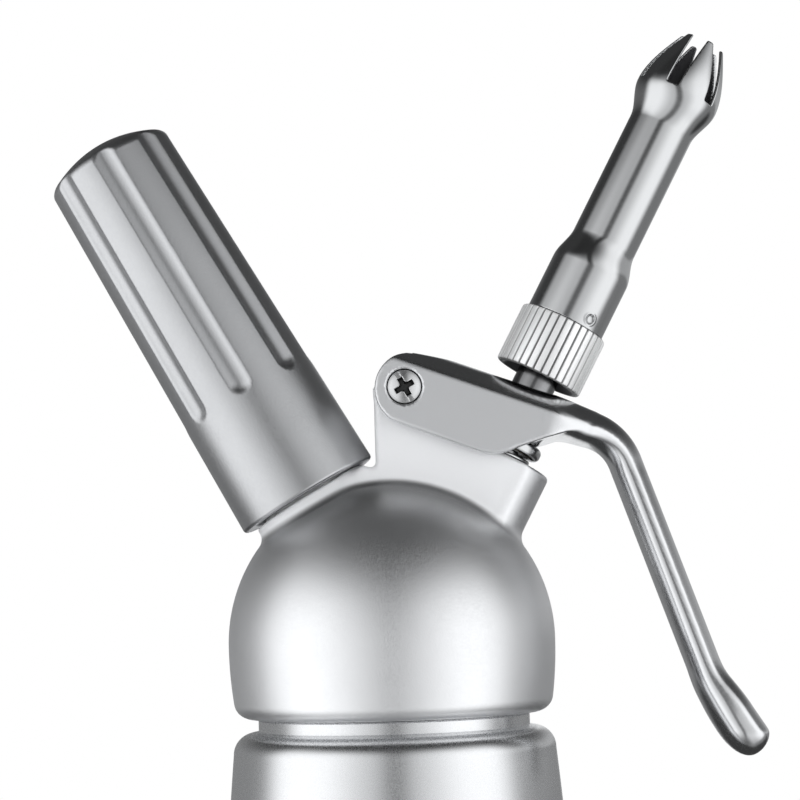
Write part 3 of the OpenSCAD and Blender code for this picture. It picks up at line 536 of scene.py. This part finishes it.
# Side view of the cheeks: round the pivot, round the lower corner, and up to the handle.
CHEEK = (
    arc(1.6, 0.2, 7.8, 100, 262, 60)
    + arc(19.0, 2.2, 10, -90, -42)
    + [(31.5, -0.6), (38.5, 4.3), (40, 8.6), (31, WEB_TOP), (7.8, WEB_TOP)]
)
HOLLOW_END = 31
BAR_START, BAR_MID = 30.0, 5.3
CROWN_R, CROWN_EDGE = 10.7, math.radians(35)
ELBOW_X, ELBOW_R, ELBOW_TURN = 40.5, 12.0, math.radians(50.5)
HANDLE_L, HANDLE_T, HANDLE_W = 47.0, 7.1, 13.0
TIP_R, TIP_TURN, TIP_L = 22.0, math.radians(12), 16.0
# The cap that rounds the tip is longer on the finger side than on the outer side.
TIP_CAP, CAP_SLANT, TIP_HALF = 6.2, 0.5, 4.7
# The handle's section along its length: (place, full thickness) and (place, full width). Its
# shape runs from a rounded box to nearly an ellipse.
THICKNESS = (0, 7.4), (22, HANDLE_T), (66, HANDLE_T), (79, 9.0), (88, 9.4)
WIDTH = (0, 26), (24, HANDLE_W), (66, HANDLE_W), (79, 15.6), (88, 15.0)
OUTER_POWER, FINGER_POWER = ((0, 6), (18, 3.2)), ((0, 6), (18, 2.2))
ROOF_R = (0, CROWN_R), (26, 6.5)


def bar_path(x, z):
    """How far (x, z) is from the handle's middle line in the lever's side view, positive on the
    outer side, and how far along the line it is."""
    s = ELBOW_X - BAR_START

    def straight(x0, z0, heading, length, done):
        c, k = math.cos(heading), math.sin(heading)
        along = (x - x0) * c - (z - z0) * k
        out = (x - x0) * k + (z - z0) * c
        over = np.maximum(np.maximum(-along, along - length), 0)
        return out, done + along, np.hypot(out, over)

    def bend(cx, cz, r, start, end, done, sign):
        angle = np.arctan2(x - cx, z - cz) if sign > 0 else np.arctan2(cx - x, cz - z)
        clipped = np.clip(angle, min(start, end), max(start, end))
        out = sign * (np.hypot(x - cx, z - cz) - r)
        miss = r * np.abs(angle - clipped)
        return out, done + r * np.abs(clipped - start), np.hypot(out, miss)

    a, b = ELBOW_TURN, ELBOW_TURN - TIP_TURN
    bend_z = BAR_MID - ELBOW_R
    x1, z1 = ELBOW_X + ELBOW_R * math.sin(a), bend_z + ELBOW_R * math.cos(a)
    x2, z2 = x1 + HANDLE_L * math.cos(a), z1 - HANDLE_L * math.sin(a)
    cx, cz = x2 + TIP_R * math.sin(a), z2 + TIP_R * math.cos(a)
    x3, z3 = cx - TIP_R * math.sin(b), cz - TIP_R * math.cos(b)
    s1 = s + ELBOW_R * a
    s2 = s1 + HANDLE_L
    s3 = s2 + TIP_R * TIP_TURN
    found = [
        straight(BAR_START, BAR_MID, 0.0, s, 0.0),
        bend(ELBOW_X, bend_z, ELBOW_R, 0.0, a, s, 1),
        straight(x1, z1, a, HANDLE_L, s1),
        bend(cx, cz, TIP_R, a, b, s2, -1),
        straight(x3, z3, b, 60.0, s3),
    ]
    out, along, miss = (np.stack(v) for v in zip(*found))
    best = np.argmin(miss, axis=0)[None]
    return np.take_along_axis(out, best, 0)[0], np.take_along_axis(along, best, 0)[0]


BAR_L = ELBOW_X - BAR_START + ELBOW_R * ELBOW_TURN + HANDLE_L + TIP_R * TIP_TURN + TIP_L


def crowned(y, top, half, r=CROWN_R, edge=CROWN_EDGE):
    """A long top whose sides are rounded by r, from a crease at each edge: top is how far a point
    is above it, half the width."""
    y = np.abs(y) - np.maximum(half - r * math.cos(edge), 0)
    return np.where(y > 0, np.hypot(np.maximum(y, 0), np.maximum(top + r, 0)) - r, top)


def bar_field(p):
    """The handle, whose section and rounded tip follow its middle line."""
    out, s = bar_path(p[:, 0], p[:, 2])
    thick = eased(s, *THICKNESS) / 2
    wide = eased(s, *WIDTH) / 2
    power = np.where(out > 0, eased(s, *OUTER_POWER), eased(s, *FINGER_POWER))
    tip = TIP_CAP - CAP_SLANT * np.clip(out, -TIP_HALF, TIP_HALF)
    cap = np.maximum(s - (BAR_L - tip), 0)
    cross = (np.abs(out / thick) ** power + np.abs(p[:, 1] / wide) ** power) ** (1 / power)
    share = np.sqrt(cross ** 2 + (cap / tip) ** 2) + SMALL
    reach = np.sqrt(out ** 2 + p[:, 1] ** 2 + cap ** 2) + SMALL
    solid = np.maximum(reach - reach / share, BAR_START + 1 - p[:, 0])
    return both(solid, crowned(p[:, 1], out - thick, wide, eased(s, *ROOF_R)), 0.25)


VALVE_ON_LEVER = LEVER.inverted() @ VALVE
# The middle of the two round noses that press on the push ring.
NOSE = VALVE_ON_LEVER @ Vector((0, 0, 51.6))
NOSE_R, STEM_SLOT_R, STEM_SLOT_L = 2.2, 5.5, 1.5
WASHER_R, WASHER_Y = 3.75, 11.9


def lever_field(p):
    """The lever in its own frame, the pivot at the origin."""
    x, y, z = p.T
    half = eased(x, (HOLLOW_END, LEVER_W / 2), (47, 7))
    cheeks = both(outline(x, z, CHEEK), np.abs(y) - half, 0.5)
    top = z - eased(x, (29, WEB_TOP), (41, 8.9))
    solid = joined(both(cheeks, crowned(y, top, half), 0.25), bar_field(p), 1.5)

    inside = np.abs(y) - (LEVER_W / 2 - CHEEK_T)
    hollow = both(both(inside, z - (WEB_TOP - WEB_T), 0.8), x - HOLLOW_END, 3.0)
    hollow = np.minimum(hollow, np.maximum(inside, x + 1.0))
    nose = np.hypot(x - NOSE[0], z - NOSE[2]) - NOSE_R
    solid = cut(solid, np.maximum(hollow, -nose), 0.3)

    # The lever swings about the pivot and the stem doesn't, so the stem's slot is longer that way.
    v = within(p, VALVE_ON_LEVER)
    near = np.hypot(v[:, 0] - np.clip(v[:, 0], -STEM_SLOT_L, 0), v[:, 1])
    solid = cut(solid, np.maximum(near - STEM_SLOT_R, TOWER_TOP - v[:, 2]), 0.3)
    pivot = np.hypot(x, z)
    solid = cut(solid, pivot - PIVOT_BORE_R)
    return cut(solid, np.maximum(pivot - WASHER_R, WASHER_Y - np.abs(y)))


# ---------------------------------------------------------------- charger holder

FLUTES, FLUTE_R, FLUTE_START, FLUTE_DEPTH = 8, 4.0, 27.0, 0.9
CAP_RISE, CAP_R = 2.7, 11.3
HOLDER_THREAD_R, HOLDER_THREAD_L = 11.5, 15.5
SLEEVE_BORE_R, SLEEVE_BORE_L = 11.1, 76.7
# The side narrows evenly up to where the cap starts, 83 mm up.
HOLDER_SLOPE = (HOLDER_MOUTH_R - HOLDER_TOP_R) / 83


def holder_field(p):
    """The fluted charger holder, its mouth at the origin."""
    r, t = polar(p)
    side = r - HOLDER_MOUTH_R + HOLDER_SLOPE * t
    solid = both(side, t - HOLDER_L + CAP_RISE * (r / CAP_R) ** 2, 1.2)
    solid = both(solid, -t, 0.7)
    turn = sector(p, FLUTES, 0)
    x = r * np.cos(turn) - (HOLDER_MOUTH_R - HOLDER_SLOPE * t + FLUTE_R - FLUTE_DEPTH)
    below = np.minimum(t - FLUTE_START, 0)
    flute = np.sqrt(x ** 2 + (r * np.sin(turn)) ** 2 + below ** 2) - FLUTE_R
    solid = cut(solid, flute, 0.35)
    solid = cut(solid, rod(p, HOLDER_THREAD_R, -5, HOLDER_THREAD_L))
    return cut(solid, rod(p, SLEEVE_BORE_R, -5, SLEEVE_BORE_L))


# ---------------------------------------------------------------- nozzle

BASE_R, TUBE_R, BULB_R, MOUTH_R = 8.7, 7.2, 9.3, 4.9
STEP_START, STEP_END, TUBE_END, NOZZLE_L = 12.5, 19.5, 47.5, 68.7
BULB_MID = TUBE_END + 0.38 * (NOZZLE_L - TUBE_END)
NOZZLE_WALL = 0.9
SLOTS, SLOT_TURN = 6, math.radians(-104)
# Half the slots' width at the bulb, and how much wider it is at the mouth.
SLOT_W, SLOT_FLARE = 1.3, 0.4
DIMPLE_T, DIMPLE_TURN, DIMPLE_R, DIMPLE_DEPTH = 2.1, math.radians(-59), 1.25, 0.45
# The raised lip round the dimple: its height and its width.
LIP_H, LIP_W = 0.12, 0.25


def nozzle_radius(t):
    """Outer radius of the tube at the height t."""
    neck = eased(t, (STEP_START, BASE_R), (STEP_END, TUBE_R), (TUBE_END, TUBE_R), (BULB_MID, BULB_R))
    u = np.clip((t - BULB_MID) / (NOZZLE_L - BULB_MID), 0, 1.05)
    return np.where(u > 0, MOUTH_R + (BULB_R - MOUTH_R) * np.cos(np.pi / 2 * u ** 0.9), neck)


def nozzle_field(p):
    """The stepped tube with its bulb, the slots at its mouth and the dimple in its base."""
    r, t = polar(p)
    wall = np.abs(r - nozzle_radius(t) + NOZZLE_WALL / 2) - NOZZLE_WALL / 2
    shell = both(both(wall, t - NOZZLE_L, 0.3), -t, 0.2)
    above = np.clip((t - BULB_MID) / (NOZZLE_L - BULB_MID), 0, 1)
    slot = np.abs(r * np.sin(sector(p, SLOTS, SLOT_TURN))) - (SLOT_W + SLOT_FLARE * above)
    shell = cut(shell, both(slot, BULB_MID + 0.2 - t, 0.3), 0.3)
    x, y = BASE_R * math.cos(DIMPLE_TURN), BASE_R * math.sin(DIMPLE_TURN)
    off = np.sqrt((p[:, 0] - x) ** 2 + (p[:, 1] - y) ** 2 + (t - DIMPLE_T) ** 2)
    lip = LIP_H * np.exp(-((off - DIMPLE_R) / LIP_W) ** 2)
    dimple = DIMPLE_DEPTH * np.exp(-((off / (0.75 * DIMPLE_R)) ** 4))
    return shell - (lip - dimple) * (r > BASE_R - NOZZLE_WALL / 2)


# ---------------------------------------------------------------- bottle

BOTTLE_WALL, FOOT_EDGE, SHOULDER_EDGE = 1.6, 7, 4.5
NECK_R, NECK_BORE, NECK_TOP = 26.0, 24.4, 199.0
THREADS, THREAD_H, THREAD_PITCH = 3, 0.6, 3
BEAD_R = 28.75
RISE_STEPS = 40


def bottle_skin(inset):
    """Half section of the bottle's skin from its base to its shoulder, drawn in by inset."""
    r = ((BODY_R - SHOULDER_R) + (SHOULDER_Z - TAPER_Z) ** 2 / (BODY_R - SHOULDER_R)) / 2
    edge_z = SHOULDER_Z - SHOULDER_EDGE
    rise = [TAPER_Z + (edge_z - TAPER_Z) * i / RISE_STEPS for i in range(RISE_STEPS + 1)]
    wall = [(BODY_R - r + math.sqrt(r * r - (z - TAPER_Z) ** 2) - inset, z) for z in rise]
    foot = arc(BODY_R - FOOT_EDGE, FOOT_EDGE, FOOT_EDGE - inset, -90, 0)
    top = arc(wall[-1][0] + inset - SHOULDER_EDGE, edge_z, SHOULDER_EDGE - inset, 5, 90)
    return [(0.01, inset)] + foot + wall + top


def bottle_neck():
    """Half section of the neck from the shoulder up and in: stop bead, thread and mouth."""
    bead = [(BEAD_R, SHOULDER_Z + 0.3), (BEAD_R, SHOULDER_Z + 2.5),
            (BEAD_R - 0.3, SHOULDER_Z + 2.8), (NECK_R, SHOULDER_Z + 2.8)]
    threads = []
    for i in range(THREADS):
        z, crest = RIM_Z + THREAD_PITCH * (i + 1), NECK_R + THREAD_H
        threads += [(NECK_R, z - 0.9), (crest, z - 0.3), (crest, z + 0.3), (NECK_R, z + 0.9)]
    mouth = [(NECK_R, NECK_TOP - 0.4), (NECK_R - 0.4, NECK_TOP), (NECK_BORE + 0.4, NECK_TOP),
             (NECK_BORE, NECK_TOP - 0.4), (NECK_BORE, SHOULDER_Z - BOTTLE_WALL)]
    return bead + threads + mouth


turned("bottle_shell", bottle_skin(0) + bottle_neck() + bottle_skin(BOTTLE_WALL)[::-1],
       UPRIGHT, "bottle", BRUSHED, ("bottle",), sides=192)

# ---------------------------------------------------------------- carved pieces

carved("head_casting", head_field, (-36, -36, 186), (36, 36, 264), 0.55,
       UPRIGHT, "head", SATIN, ("head",))
carved("squeeze_lever", lever_field, (-9, -15, -54), (98, 15, 12), 0.5,
       LEVER, "lever", POLISHED, ("lever",))
carved("holder_barrel", holder_field, (-17, -17, -1), (17, 17, 90), 0.5,
       holder_frame(HOLDER_START), "holder", ANODISED, ("charger_holder",))
nozzle = carved("star_nozzle", nozzle_field, (-10, -10, -1), (10, 10, 70), 0.24,
                NOZZLE, "nozzle", STEEL, ("nozzle_tube",))

# The tube's inner faces are painted near-black as painted shade.
nozzle.data.materials.append(INSIDE)
centres = np.empty(3 * len(nozzle.data.polygons))
nozzle.data.polygons.foreach_get("center", centres)
centre_r, centre_t = polar(within(centres.reshape(-1, 3) / MM, NOZZLE))
inner = centre_r < nozzle_radius(centre_t) - 0.85 * NOZZLE_WALL
nozzle.data.polygons.foreach_set("material_index", inner.astype(np.int32))

# ---------------------------------------------------------------- collar

# The grooves between the ribs: how many, how deep, and half their width as a share of the pitch.
RIBS, RIB_DEPTH, GROOVE_W = 34, 0.5, 0.17
COLLAR_END_R = 9.0


def grooves(turn, r, z):
    """How far the collar's grooves set its side in."""
    across = np.abs((turn * RIBS / (2 * np.pi)) % 1 - 0.5) / GROOVE_W
    return RIB_DEPTH * np.clip(1 - across ** 2, 0, 1) * (r > COLLAR_END_R)


# Half section of the collar: both rounded ends of its side, as (radius, distance from the end),
# and then the top and the bores, as (radius, height).
COLLAR_EDGE = [(COLLAR_END_R, 0), (9.4, 0.08), (9.66, 0.3), (COLLAR_R, 0.65)]
COLLAR_BORES = [(7.8, COLLAR_L), (7.8, 11.4), (5.5, 11.4), (5.5, 2.3), (8.35, 0)]
COLLAR_SIDE = COLLAR_EDGE + [(r, COLLAR_L - t) for r, t in COLLAR_EDGE[::-1]]
collar = turned("ribbed_collar", COLLAR_SIDE + COLLAR_BORES, valve_frame(COLLAR_START), "nozzle",
                KNURLED, ("nozzle_collar",), sides=12 * RIBS, ribs=grooves)

# The faces that follow the side in the section are its inner ones, which are painted near-black as
# painted shade.
collar.data.materials.append(INSIDE)
for i, face in enumerate(collar.data.polygons):
    face.material_index = int(i % len(COLLAR_SIDE + COLLAR_BORES) >= len(COLLAR_SIDE) - 1)

# ---------------------------------------------------------------- valve

RING_R, RING_BORE, RING_EDGE = 8.1, 3.65, 1.2
ring = [(RING_BORE, 0)] + arc(RING_R - RING_EDGE, RING_EDGE, RING_EDGE, -90, 0, 8)
ring += arc(RING_R - RING_EDGE, RING_H - RING_EDGE, RING_EDGE, 0, 90, 8) + [(RING_BORE, RING_H)]
turned("valve_push_ring", ring, valve_frame(RING_FLOOR), "valve", STEEL, ("push_ring",))

WIRE_R, COIL_R, COIL_TURNS = 0.45, 6.15, 3.5
TURN_STEPS, WIRE_SIDES = 48, 12
# The share of the wire at each end that lies almost flat.
FLAT = 0.1
SPRING_L = RING_FLOOR - SPRING_FLOOR


def coil_spring():
    """The return spring: round wire whose end turns lie flat on their seats."""
    steps, sides = int(TURN_STEPS * COIL_TURNS), WIRE_SIDES
    s = np.arange(steps + 1) / steps
    straight = np.clip((s - FLAT) / (1 - 2 * FLAT), 0, 1)
    rise = (eased(s, (FLAT, 0), (1 - FLAT, 1)) + straight) / 2
    turn, height = s * COIL_TURNS * 2 * np.pi, WIRE_R + (SPRING_L - 2 * WIRE_R) * rise
    points = []
    for k in range(sides):
        a = 2 * np.pi * k / sides
        r, z = COIL_R + WIRE_R * math.cos(a), height + WIRE_R * math.sin(a)
        points.append(np.stack([r * np.cos(turn), r * np.sin(turn), z], axis=-1))
    points = np.stack(points, axis=1).reshape(-1, 3)
    faces = []
    for i in range(steps):
        for k in range(sides):
            m = (k + 1) % sides
            faces.append((i * sides + k, i * sides + m, (i + 1) * sides + m, (i + 1) * sides + k))
    faces.append(tuple(range(sides))[::-1])
    faces.append(tuple(range(steps * sides, (steps + 1) * sides)))
    home = valve_frame(SPRING_FLOOR)
    spring = new_piece("coil_spring", points, faces, home, "head", STEEL, ("return_spring",))
    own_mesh(spring)


coil_spring()

# ---------------------------------------------------------------- pivot

HEAD_R, SHANK_R, BARREL_R, BARREL_BORE = 3.6, 2.0, 2.9, 2.05
FACE, SEAT = LEVER_W / 2, LEVER_W / 2 - 1.9
CROSS_TURN = math.radians(28)
SCREW = PIVOT @ Matrix.Rotation(math.pi / 2, 4, "X")
NUT = PIVOT @ Matrix.Rotation(-math.pi / 2, 4, "X")


def domed_head(p, rise):
    """A low round head whose crown stands that far above its edge."""
    r, z = polar(p)
    crown = z - FACE + rise * (r / HEAD_R) ** 2
    return both(both(r - HEAD_R, crown, 0.25), SEAT - z, 0.1)


# The screw's recess: a slot, and a cross whose arms narrow and shorten by a share of the depth.
SLOT_HALF, SLOT_DEPTH = 0.4, 0.55
ARM_HALF, ARM_L, CROSS_CORE, CROSS_DEPTH = 0.6, 2.3, 1.1, 1.7
NUT_SLOT_HALF, NUT_SLOT_DEPTH, NUT_BORE_END = 0.45, 1.0, 2.8


def screw_field(p):
    """The cross-recess screw, its head towards +Z."""
    r, z = polar(p)
    turn = np.arctan2(p[:, 1], p[:, 0]) - CROSS_TURN
    u, v = np.abs(r * np.cos(turn)), np.abs(r * np.sin(turn))
    shank = np.maximum(r - SHANK_R, np.abs(z - SEAT / 2) - SEAT / 2 - 0.1)
    solid = np.minimum(domed_head(p, 0.55), shank)
    deep = FACE - z
    solid = cut(solid, np.maximum(u - SLOT_HALF, deep - SLOT_DEPTH), 0.08)

    def arm(across, along):
        return both(across - ARM_HALF + 0.1 * deep, along - ARM_L + 0.4 * deep, 0.15)

    cross = joined(np.minimum(arm(u, v), arm(v, u)), r - CROSS_CORE + 0.3 * deep, 0.2)
    return cut(solid, np.maximum(cross, deep - CROSS_DEPTH), 0.08)


def nut_field(p):
    """The sleeve nut that the lever turns on, its slotted head towards +Z."""
    r, z = polar(p)
    barrel = np.maximum(r - BARREL_R, np.abs(z) - SEAT)
    into_head = np.maximum(r - BARREL_R, z - SEAT - 0.2)
    solid = np.minimum(domed_head(p, 0.4), np.where(z > SEAT - 0.5, into_head, barrel))
    slot = np.maximum(np.abs(p[:, 0]) - NUT_SLOT_HALF, FACE - NUT_SLOT_DEPTH - z)
    solid = cut(solid, slot, 0.1)
    return cut(solid, rod(p, BARREL_BORE, -20, NUT_BORE_END), 0.1)


carved("pivot_screw_head", screw_field, (-4, -4, -0.5), (4, 4, 14.5), 0.13,
       SCREW, "head", SCREWS, ("pivot_screw",))
carved("pivot_sleeve_nut", nut_field, (-4, -4, -12.5), (4, 4, 14.5), 0.18,
       NUT, "head", SCREWS, ("pivot_nut",))

# ---------------------------------------------------------------- finishes

FINISHES = {
    RUBBER: ["head_gasket", "pin_seal", "non_return_sleeve", "stem_o_rings", "valve_seal",
             "nozzle_seal"],
    PLASTIC: ["charger_sleeve", "pivot_washers", "nozzle_insert"],
    BRASS: ["charger_valve_body", "stem_bush"],
    STEM: ["valve_stem"],
    STEEL: ["piercing_pin", "gas_charger", "valve_nut", "push_ring", "return_spring",
            "pivot_nut", "pivot_screw", "nozzle_collar", "nozzle_tube"],
    POLISHED: ["lever"],
    SATIN: ["bottle", "head", "charger_holder"],
}
for material, names in FINISHES.items():
    for name in names:
        nodes[name].data.materials.clear()
        nodes[name].data.materials.append(material)

# ---------------------------------------------------------------- studio


def seen_white(tree):
    """1 where a camera, glossy or transmission ray meets the material, otherwise 0."""
    path = shade(tree, "LightPath", {}).outputs
    rays = maths(tree, "ADD", path["Is Camera Ray"], path["Is Glossy Ray"])
    return maths(tree, "MINIMUM", maths(tree, "ADD", rays, path["Is Transmission Ray"]), 1.0)


def staged(name, mesh, material):
    """An object of the studio."""
    obj = bpy.data.objects.new(name, mesh)
    bpy.context.scene.collection.objects.link(obj)
    mesh.materials.append(material)
    return obj


def glowing(name):
    """An empty emission material: its tree and its emission node."""
    mat, tree = new_material(name)
    tree.nodes.remove(tree.nodes["Principled BSDF"])
    emission = shade(tree, "Emission", {})
    tree.links.new(emission.outputs[0], tree.nodes["Material Output"].inputs["Surface"])
    return mat, tree, emission


DEGREE = math.radians(1)
BOX_GLOW, ROOM_GLOW, WALL_GLOW, STRIP_GLOW = 1.16, 0.18, 0.08, 0.24
# The softboxes' outer edges lie that many degrees further left than symmetry has them.
BOX_SHIFT = 5
STUDIO_R, STUDIO_MIDDLE = 2.0, (0, 0, 0.2)


def surround():
    """What the metal reflects: a dark room with two tall softboxes in front, left and right of the
    camera, and a white backdrop behind. Only glossy rays see it."""
    mat, tree, emission = glowing("dark_room_with_softboxes")
    away = shade(tree, "VectorMath", {0: here(tree)}, operation="NORMALIZE").outputs[0]
    x, y, z = shade(tree, "SeparateXYZ", {0: away}).outputs
    turn = maths(tree, "ARCTAN2", x, product(tree, y, -1.0))
    side = maths(tree, "ABSOLUTE", turn)
    outer = maths(tree, "ABSOLUTE", maths(tree, "ADD", turn, BOX_SHIFT * DEGREE))
    height = maths(tree, "ARCSINE", z)
    right = maths(tree, "GREATER_THAN", x, 0.0)

    def step(value, low, high, size=1.0):
        """A smooth step from 0 to size between two angles in degrees."""
        return product(tree, rising(tree, value, low * DEGREE, high * DEGREE), size)

    def band(value, start, end):
        """1 between two steps and 0 beyond them."""
        return maths(tree, "SUBTRACT", step(value, *start), step(value, *end))

    across = maths(tree, "ADD", step(side, 3, 14, 0.5), step(side, 14, 54, 0.5))
    across = maths(tree, "SUBTRACT", across, step(outer, 76, 102))
    boxes = product(tree, across, band(height, (-78, -28), (26, 60)), BOX_GLOW)

    # The room is brighter to the sides, most in a strip on the right wall, and darkens upwards
    # and low down behind.
    strip = product(tree, band(height, (5, 9), (18, 28)), right, STRIP_GLOW)
    wall = maths(tree, "ADD", WALL_GLOW, strip)
    room = maths(tree, "ADD", ROOM_GLOW, product(tree, step(side, 60, 100), wall))
    room = product(tree, room, maths(tree, "SUBTRACT", 1.0, step(height, 10, 44, 0.8)))
    low = maths(tree, "SUBTRACT", 1.0, step(height, -18, -6))
    dark = product(tree, low, step(side, 104, 122), 0.8)
    room = product(tree, room, maths(tree, "SUBTRACT", 1.0, dark))

    backdrop = product(tree, step(side, 160, 172), band(height, (-14, -5), (20, 50)), right)
    glow = maths(tree, "MAXIMUM", maths(tree, "ADD", room, boxes), backdrop)
    tree.links.new(glow, emission.inputs["Strength"])
    emission.inputs["Color"].default_value = (0.98, 0.99, 1.0, 1)
    ball = bmesh.new()
    middle = Matrix.Translation(STUDIO_MIDDLE)
    bmesh.ops.create_icosphere(ball, subdivisions=4, radius=STUDIO_R, matrix=middle)
    mesh = bpy.data.meshes.new("surround")
    ball.to_mesh(mesh)
    ball.free()
    obj = staged("surround", mesh, mat)
    for ray in ("camera", "diffuse", "transmission", "volume_scatter", "shadow"):
        setattr(obj, "visible_" + ray, False)


FLOOR_HALF = 6


def pale_floor():
    """A white floor that keeps the object's shadow near it and runs into the white background."""
    mat, tree = new_material("pale_floor")
    diffuse = tree.nodes["Principled BSDF"]
    diffuse.inputs["Base Color"].default_value = (0.9, 0.9, 0.9, 1)
    diffuse.inputs["Roughness"].default_value = 0.9
    far = product(tree, rising(tree, distance(tree, here(tree)), 0.2, 0.6), seen_white(tree))
    glow = shade(tree, "Emission", {"Color": (1, 1, 1, 1), "Strength": 1.0})
    mix = shade(tree, "MixShader", {0: far, 1: diffuse.outputs[0], 2: glow.outputs[0]})
    tree.links.new(mix.outputs[0], tree.nodes["Material Output"].inputs["Surface"])
    mesh = bpy.data.meshes.new("floor")
    corners = [(x * FLOOR_HALF, y * FLOOR_HALF, 0) for x, y in ((-1, -1), (1, -1), (1, 1), (-1, 1))]
    mesh.from_pydata(corners, [], [(0, 1, 2, 3)])
    staged("floor", mesh, mat).visible_glossy = False


def white_world(light):
    """White to the camera and in reflections, and a plain even light on everything else."""
    world = bpy.data.worlds.new("white_background")
    bpy.context.scene.world = world
    world.use_nodes = True
    tree = world.node_tree
    back = tree.nodes["Background"]
    back.inputs["Color"].default_value = (1, 1, 1, 1)
    strength = shade(tree, "MapRange", {"Value": seen_white(tree), "To Min": light, "To Max": 1.0})
    tree.links.new(strength.outputs["Result"], back.inputs["Strength"])


def lamp(name, place, size, power):
    """A soft lamp aimed at the object."""
    light = bpy.data.lights.new(name, "AREA")
    light.shape = "RECTANGLE"
    light.size, light.size_y = size
    light.energy = power
    obj = bpy.data.objects.new(name, light)
    obj.location = place
    aim = Vector(STUDIO_MIDDLE) - Vector(place)
    obj.rotation_euler = aim.to_track_quat("-Z", "Y").to_euler()
    obj.visible_glossy = False
    bpy.context.scene.collection.objects.link(obj)


surround()
pale_floor()
white_world(0.55)
for name, x in (("left_softbox", -1.1), ("right_softbox", 1.1)):
    lamp(name, (x, -0.9, 0.6), (0.7, 1.2), 14)

# ---------------------------------------------------------------- camera

EYE = Vector((3.225, -467.0, 208.83))
PITCH, ROLL = math.radians(5.524), math.radians(-1.70)

camera = bpy.data.cameras.new("camera")
camera.lens = 98.03
camera.sensor_width = 36.0
camera.clip_start = 0.01
eye = bpy.data.objects.new("camera", camera)
turn = Matrix.Rotation(math.pi / 2 + PITCH, 4, "X") @ Matrix.Rotation(ROLL, 4, "Z")
eye.matrix_world = Matrix.Translation(EYE * MM) @ turn
bpy.context.scene.collection.objects.link(eye)
bpy.context.scene.camera = eye
bpy.context.scene.view_settings.view_transform = "Standard"
